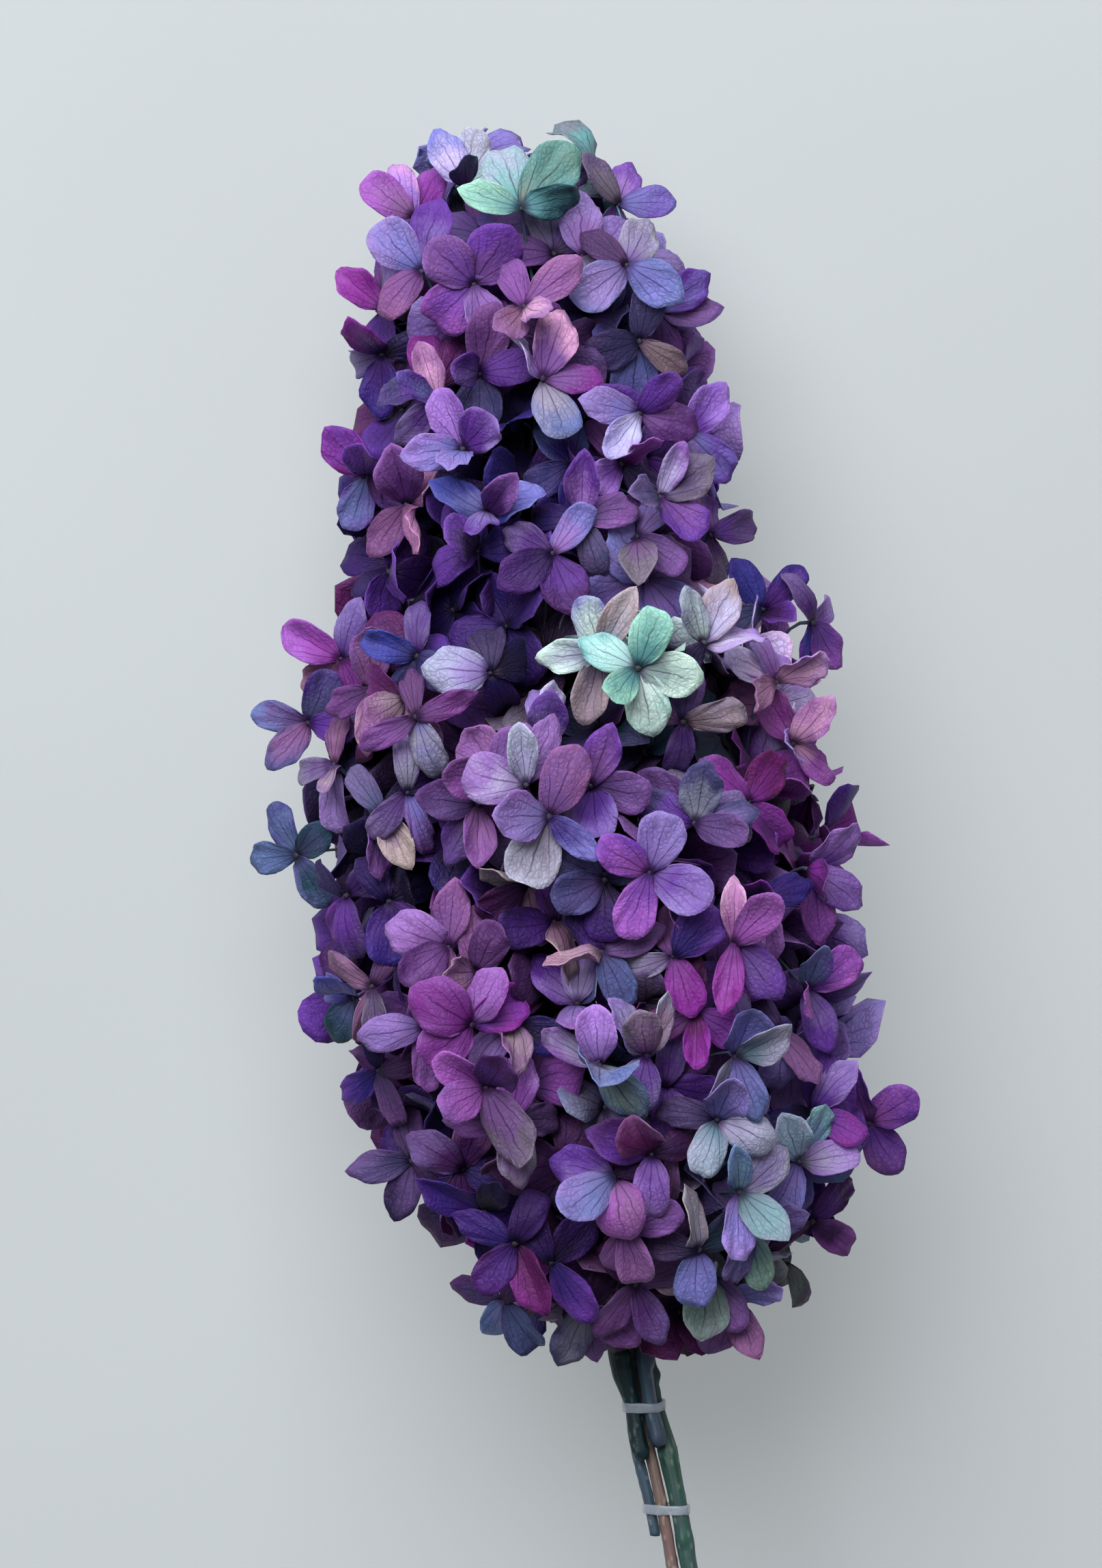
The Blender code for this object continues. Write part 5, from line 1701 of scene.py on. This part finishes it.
def band_material(settings):
    made, wire, shader = new_material(
        "Clear elastic", 0.28, Alpha=settings.opacity, Coat_Weight=0.35, Coat_Roughness=0.18,
    )
    way = wire.attribute("strip_way")["Vector"]
    drift = wire.group(shared_group("drift"), Place=way, Scale=0.35, Sharpness=2.0, Lean=0.0)
    base = Vector(settings.colour)
    colour = wire.mix(drift["Mask"], (*(base * 0.84), 1), (*(base * 1.16), 1))
    dress(wire, shader, colour, wire.range(drift["Fleck"], 0.3, 0.7, 0.22, 0.4), drift["Fleck"], 0.25, 0.0003)
    return made


def floor_material(settings):
    made, wire, shader = new_material("Pale floor", 0.85)
    place = wire.add("ShaderNodeTexCoord").outputs["Object"]
    cloud = wire.noise(place, 2.2, 2.0, 0.5)
    base = Vector(settings.floor_colour)
    colour = wire.mix(wire.range(cloud, 0.35, 0.65), (*(base * 0.965), 1), (*(base * 1.02), 1))
    wire.join(colour, shader.inputs["Base Color"])
    return made


# What a user would change


def length_value(name, description, default, low, high):
    """A length property from values in mm, which Blender holds in metres."""
    return FloatProperty(
        name=name, description=description, default=default * MM, min=low * MM, max=high * MM, precision=5,
        unit="LENGTH",
    )


def share_value(name, description, default, high=1.0):
    """A property that is a share."""
    return FloatProperty(name=name, description=description, default=default, min=0, max=high, subtype="FACTOR")


def strength_value(name, description, default, high, unit="NONE"):
    """A property that is neither a length nor a share, from none up."""
    return FloatProperty(name=name, description=description, default=default, min=0, max=high, unit=unit)


def count_value(name, description, default, low, high):
    return IntProperty(name=name, description=description, default=default, min=low, max=high)


def colour_value(name, description, default):
    """A colour property from sRGB bytes."""
    return FloatVectorProperty(
        name=name, description=description, default=tuple(linear(default)), min=0, max=1, size=3, subtype="COLOR",
    )


class FloretSettings(bpy.types.PropertyGroup):
    petal_length: length_value("Petal length", "Mean length of a petal", 18.0, 8, 30)
    spacing: length_value("Spacing", "Least distance between two florets' middles", 12.8, 8, 40)
    lean: strength_value("Lean", "How far florets face away from the head's outline", 0.62, 2)
    tries: count_value("Tries", "Places that are tried for each floret", 26, 1, 200)
    rounds: count_value("Settling rounds", "How often crossing petals are moved apart", 3, 0, 20)
    button_radius: length_value("Bud radius", "Radius of the bud in a floret's middle", 0.85, 0.4, 4)


class PetalFinish(bpy.types.PropertyGroup):
    # It also darkens the painted shade round each floret's middle
    vein_colour: colour_value(
        "Vein colour", "What a petal's colour is multiplied by in its veins and claw", (105, 80, 114),
    )
    sheen: share_value("Sheen", "Soft light at grazing angles", 0.02)
    vein_width: length_value("Vein width", "Half width of a main vein", 0.29, 0.02, 1)
    vein_depth: share_value("Vein depth", "How dark the veins are", 0.82)
    net_size: length_value("Net size", "Width of one mesh of the fine net of veins", 1.25, 0.5, 6)
    net_depth: share_value("Net depth", "How dark the fine net is", 0.36)
    relief: share_value("Relief", "Strength of the quilted relief", 0.5)


class StemSettings(bpy.types.PropertyGroup):
    sides: count_value("Sides", "Points round a stem", 36, 8, 96)
    ring_step: length_value("Ring step", "Distance between two rings along a stem, below the head", 0.8, 0.3, 10)
    inner_step: length_value(
        "Inner ring step", "Distance between two rings along a stem, inside the head", 4.0, 0.5, 20,
    )
    pores: count_value("Pores", "Raised pores on 10 mm of a stem", 9, 0, 60)
    ridge: share_value("Ridges", "Height of the bark's ridges as a share of the radius", 0.028, 0.2)
    green_stem: colour_value("Green stem", "Main colour of the upper spray's stem", (50, 96, 78))
    tan_stem: colour_value("Tan stem", "Main colour of the stem behind the others", (146, 122, 108))
    slate_stem: colour_value("Slate stems", "Main colour of the left and the right spray's stems", (74, 84, 112))
    teal_stem: colour_value("Teal stem", "Main colour of the lower spray's stem", (12, 50, 56))


class BandSettings(bpy.types.PropertyGroup):
    thickness: length_value("Thickness", "Thickness of a strip", 0.55, 0.1, 3)
    opacity: share_value("Opacity", "How much of what lies behind a strip it hides", 0.55)
    colour: colour_value("Colour", "Colour of the elastic", (190, 198, 210))


class StageSettings(bpy.types.PropertyGroup):
    floor_colour: FloatVectorProperty(
        name="Floor", description="Colour of the floor", default=(0.208, 0.2135, 0.2152), min=0, max=1, size=3,
        subtype="COLOR",
    )
    floor_light: strength_value("Floor light", "Strength of the even light that reaches the floor alone", 4.0, 50)
    room: strength_value("Room", "How pale the room behind the floor looks", 0.45, 5)
    key_power: strength_value("Key light", "Power of the main soft light", 30.0, 500, "POWER")
    fill_power: strength_value("Fill light", "Power of the wide light over the camera", 0.9, 500, "POWER")
    sky: strength_value("Surrounding light", "Strength of the even light from all round", 0.15, 5)


SETTINGS = {
    "hydrangea_florets": FloretSettings,
    "hydrangea_petals": PetalFinish,
    "hydrangea_stems": StemSettings,
    "hydrangea_bands": BandSettings,
    "hydrangea_stage": StageSettings,
}

# Points across and along a petal, in each layer of florets
FRONT_GRID = (21, 9)
OUTER_GRID = (13, 7)
REAR_GRID = (12, 6)
INNER_GRID = (9, 4)
FLOOR_REACH = 3000.0


class HYDRANGEA_OT_florets(bpy.types.Operator):
    """Builds the petals and the small buds of every floret"""
    bl_idname = "hydrangea.florets"
    bl_label = "Build Florets"

    def execute(self, context):
        settings = context.scene.hydrangea_florets
        florets = bunch_plan(settings)
        petals = petal_material(context.scene.hydrangea_petals)
        buds = button_material()
        for spray in SPRAYS:
            node = f"{spray}_spray"
            own = [f for f in florets if f.spray == spray]
            layers = {
                "florets": ([f for f in own if not f.fixed and not f.inner and not f.rear], OUTER_GRID),
                "rear_florets": ([f for f in own if not f.inner and f.rear], REAR_GRID),
                "front_florets": ([f for f in own if f.fixed], FRONT_GRID),
                "inner_florets": ([f for f in own if f.inner], INNER_GRID),
            }
            for layer, (chosen, grid) in layers.items():
                if chosen:
                    build_florets(f"{node}_{layer}", chosen, *grid, petals, (node,))
            build_buttons(f"{node}_buds", own, in_mm(settings.button_radius), buds, (node,))
        return {"FINISHED"}


class HYDRANGEA_OT_twigs(bpy.types.Operator):
    """Builds the branches and stalks inside the head"""
    bl_idname = "hydrangea.twigs"
    bl_label = "Build Twigs"

    def execute(self, context):
        florets = bunch_plan(context.scene.hydrangea_florets)
        draw = np.random.default_rng(SEED + 1)
        twigs = twig_material()
        for spray in SPRAYS:
            build_twigs(f"{spray}_spray_twigs", spray, [f for f in florets if f.spray == spray], draw, twigs)
        return {"FINISHED"}


class HYDRANGEA_OT_stems(bpy.types.Operator):
    """Builds the five dyed stems"""
    bl_idname = "hydrangea.stems"
    bl_label = "Build Stems"

    def execute(self, context):
        settings = context.scene.hydrangea_stems
        finishes = {finish: stem_material(finish, Vector(getattr(settings, finish))) for finish in STEM_DYES}
        for name, finish in STEMS.items():
            build_stem(name, settings, finishes[finish])
        return {"FINISHED"}


class HYDRANGEA_OT_bands(bpy.types.Operator):
    """Builds the clear elastic strips round the stems"""
    bl_idname = "hydrangea.bands"
    bl_label = "Build Bands"

    def execute(self, context):
        settings = context.scene.hydrangea_bands
        clear = band_material(settings)
        for name in BANDS:
            build_band(name, settings, clear)
        return {"FINISHED"}


def area_light(name, place, aim, size, power, colour):
    data = bpy.data.lights.new(name, "AREA")
    data.shape = "SQUARE"
    data.size = size
    data.energy = power
    data.color = colour
    light = bpy.data.objects.new(name, data)
    light.location = place
    light.rotation_euler = (Vector(aim) - Vector(place)).to_track_quat("-Z", "Y").to_euler()
    bpy.context.scene.collection.objects.link(light)


def even_floor_light(scene, floor, power, colour):
    """A light from straight above that reaches the floor alone, so the bunch throws only a soft shadow."""
    data = bpy.data.lights.new("floor_light", "SUN")
    data.energy = power
    data.color = colour
    light = bpy.data.objects.new("floor_light", data)
    scene.collection.objects.link(light)
    alone = bpy.data.collections.new("Floor alone")
    alone.objects.link(floor)
    light.light_linking.receiver_collection = alone
    light.light_linking.blocker_collection = alone


def soft_room(light, seen):
    """A world that gives one strength of light and shows another behind the floor."""
    world = bpy.data.worlds.new("Soft room")
    world.use_nodes = True
    world.node_tree.nodes.clear()
    wire = Wiring(world.node_tree)
    backgrounds = wire.add("ShaderNodeBackground"), wire.add("ShaderNodeBackground")
    for background, strength in zip(backgrounds, (light, seen)):
        background.inputs["Color"].default_value = (0.80, 0.86, 0.90, 1)
        background.inputs["Strength"].default_value = strength
    mixed = wire.add("ShaderNodeMixShader")
    wire.join(wire.add("ShaderNodeLightPath").outputs["Is Camera Ray"], mixed.inputs[0])
    for background, socket in zip(backgrounds, (mixed.inputs[1], mixed.inputs[2])):
        wire.join(background.outputs[0], socket)
    wire.join(mixed.outputs[0], wire.add("ShaderNodeOutputWorld").inputs[0])
    return world


def photo_camera():
    """A camera straight above, whose picture is the photograph's frame."""
    data = bpy.data.cameras.new("camera")
    data.sensor_fit = "HORIZONTAL"
    data.sensor_width = SENSOR
    data.lens = SENSOR * EYE_DISTANCE / (PHOTO_WIDTH * PHOTO_SCALE)
    data.clip_end = 20
    camera = bpy.data.objects.new("camera", data)
    camera.location = (0, 0, (EYE_LEVEL + EYE_DISTANCE) * MM)
    bpy.context.scene.collection.objects.link(camera)
    return camera


class HYDRANGEA_OT_stage(bpy.types.Operator):
    """Sets up the floor, the soft light and the camera"""
    bl_idname = "hydrangea.stage"
    bl_label = "Build Stage"

    def execute(self, context):
        scene = context.scene
        settings = scene.hydrangea_stage
        corners = np.array([(x, y, 0) for x, y in ((-1, -1), (1, -1), (1, 1), (-1, 1))]) * FLOOR_REACH
        floor = new_piece("floor", corners, [np.array([(0, 1, 2, 3)])], floor_material(settings))
        cool = (0.93, 0.97, 1.0)
        area_light("key_light", place=(-0.3, 0.85, 1.15), aim=(0, 0, 0.06), size=1.3,
                   power=settings.key_power, colour=cool)
        area_light("fill_light", place=(0.3, -0.2, 1.7), aim=(0, 0, 0.05), size=1.4,
                   power=settings.fill_power, colour=cool)
        even_floor_light(scene, floor, settings.floor_light, cool)
        scene.world = soft_room(settings.sky, settings.room)
        scene.view_settings.view_transform = "Standard"
        scene.camera = photo_camera()
        return {"FINISHED"}


OPERATORS = (
    HYDRANGEA_OT_florets,
    HYDRANGEA_OT_twigs,
    HYDRANGEA_OT_stems,
    HYDRANGEA_OT_bands,
    HYDRANGEA_OT_stage,
)


class HYDRANGEA_PT_panel(bpy.types.Panel):
    """Lists the sizes, the colours and the building steps"""
    bl_label = "Hydrangea Bunch"
    bl_space_type = "VIEW_3D"
    bl_region_type = "UI"
    bl_category = "Hydrangea"

    def draw(self, context):
        for holder, group in SETTINGS.items():
            box = self.layout.box()
            for name in group.__annotations__:
                box.prop(getattr(context.scene, holder), name)
        for operator in OPERATORS:
            self.layout.operator(operator.bl_idname)


CLASSES = (*SETTINGS.values(), *OPERATORS, HYDRANGEA_PT_panel)


def register():
    for group in CLASSES:
        bpy.utils.register_class(group)
    for holder, group in SETTINGS.items():
        setattr(bpy.types.Scene, holder, PointerProperty(type=group))


def unregister():
    for holder in SETTINGS:
        delattr(bpy.types.Scene, holder)
    for group in reversed(CLASSES):
        bpy.utils.unregister_class(group)


def main():
    register()
    for operator in OPERATORS:
        category, name = operator.bl_idname.split(".")
        getattr(getattr(bpy.ops, category), name)()
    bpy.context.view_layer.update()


if __name__ == "__main__":
    main()
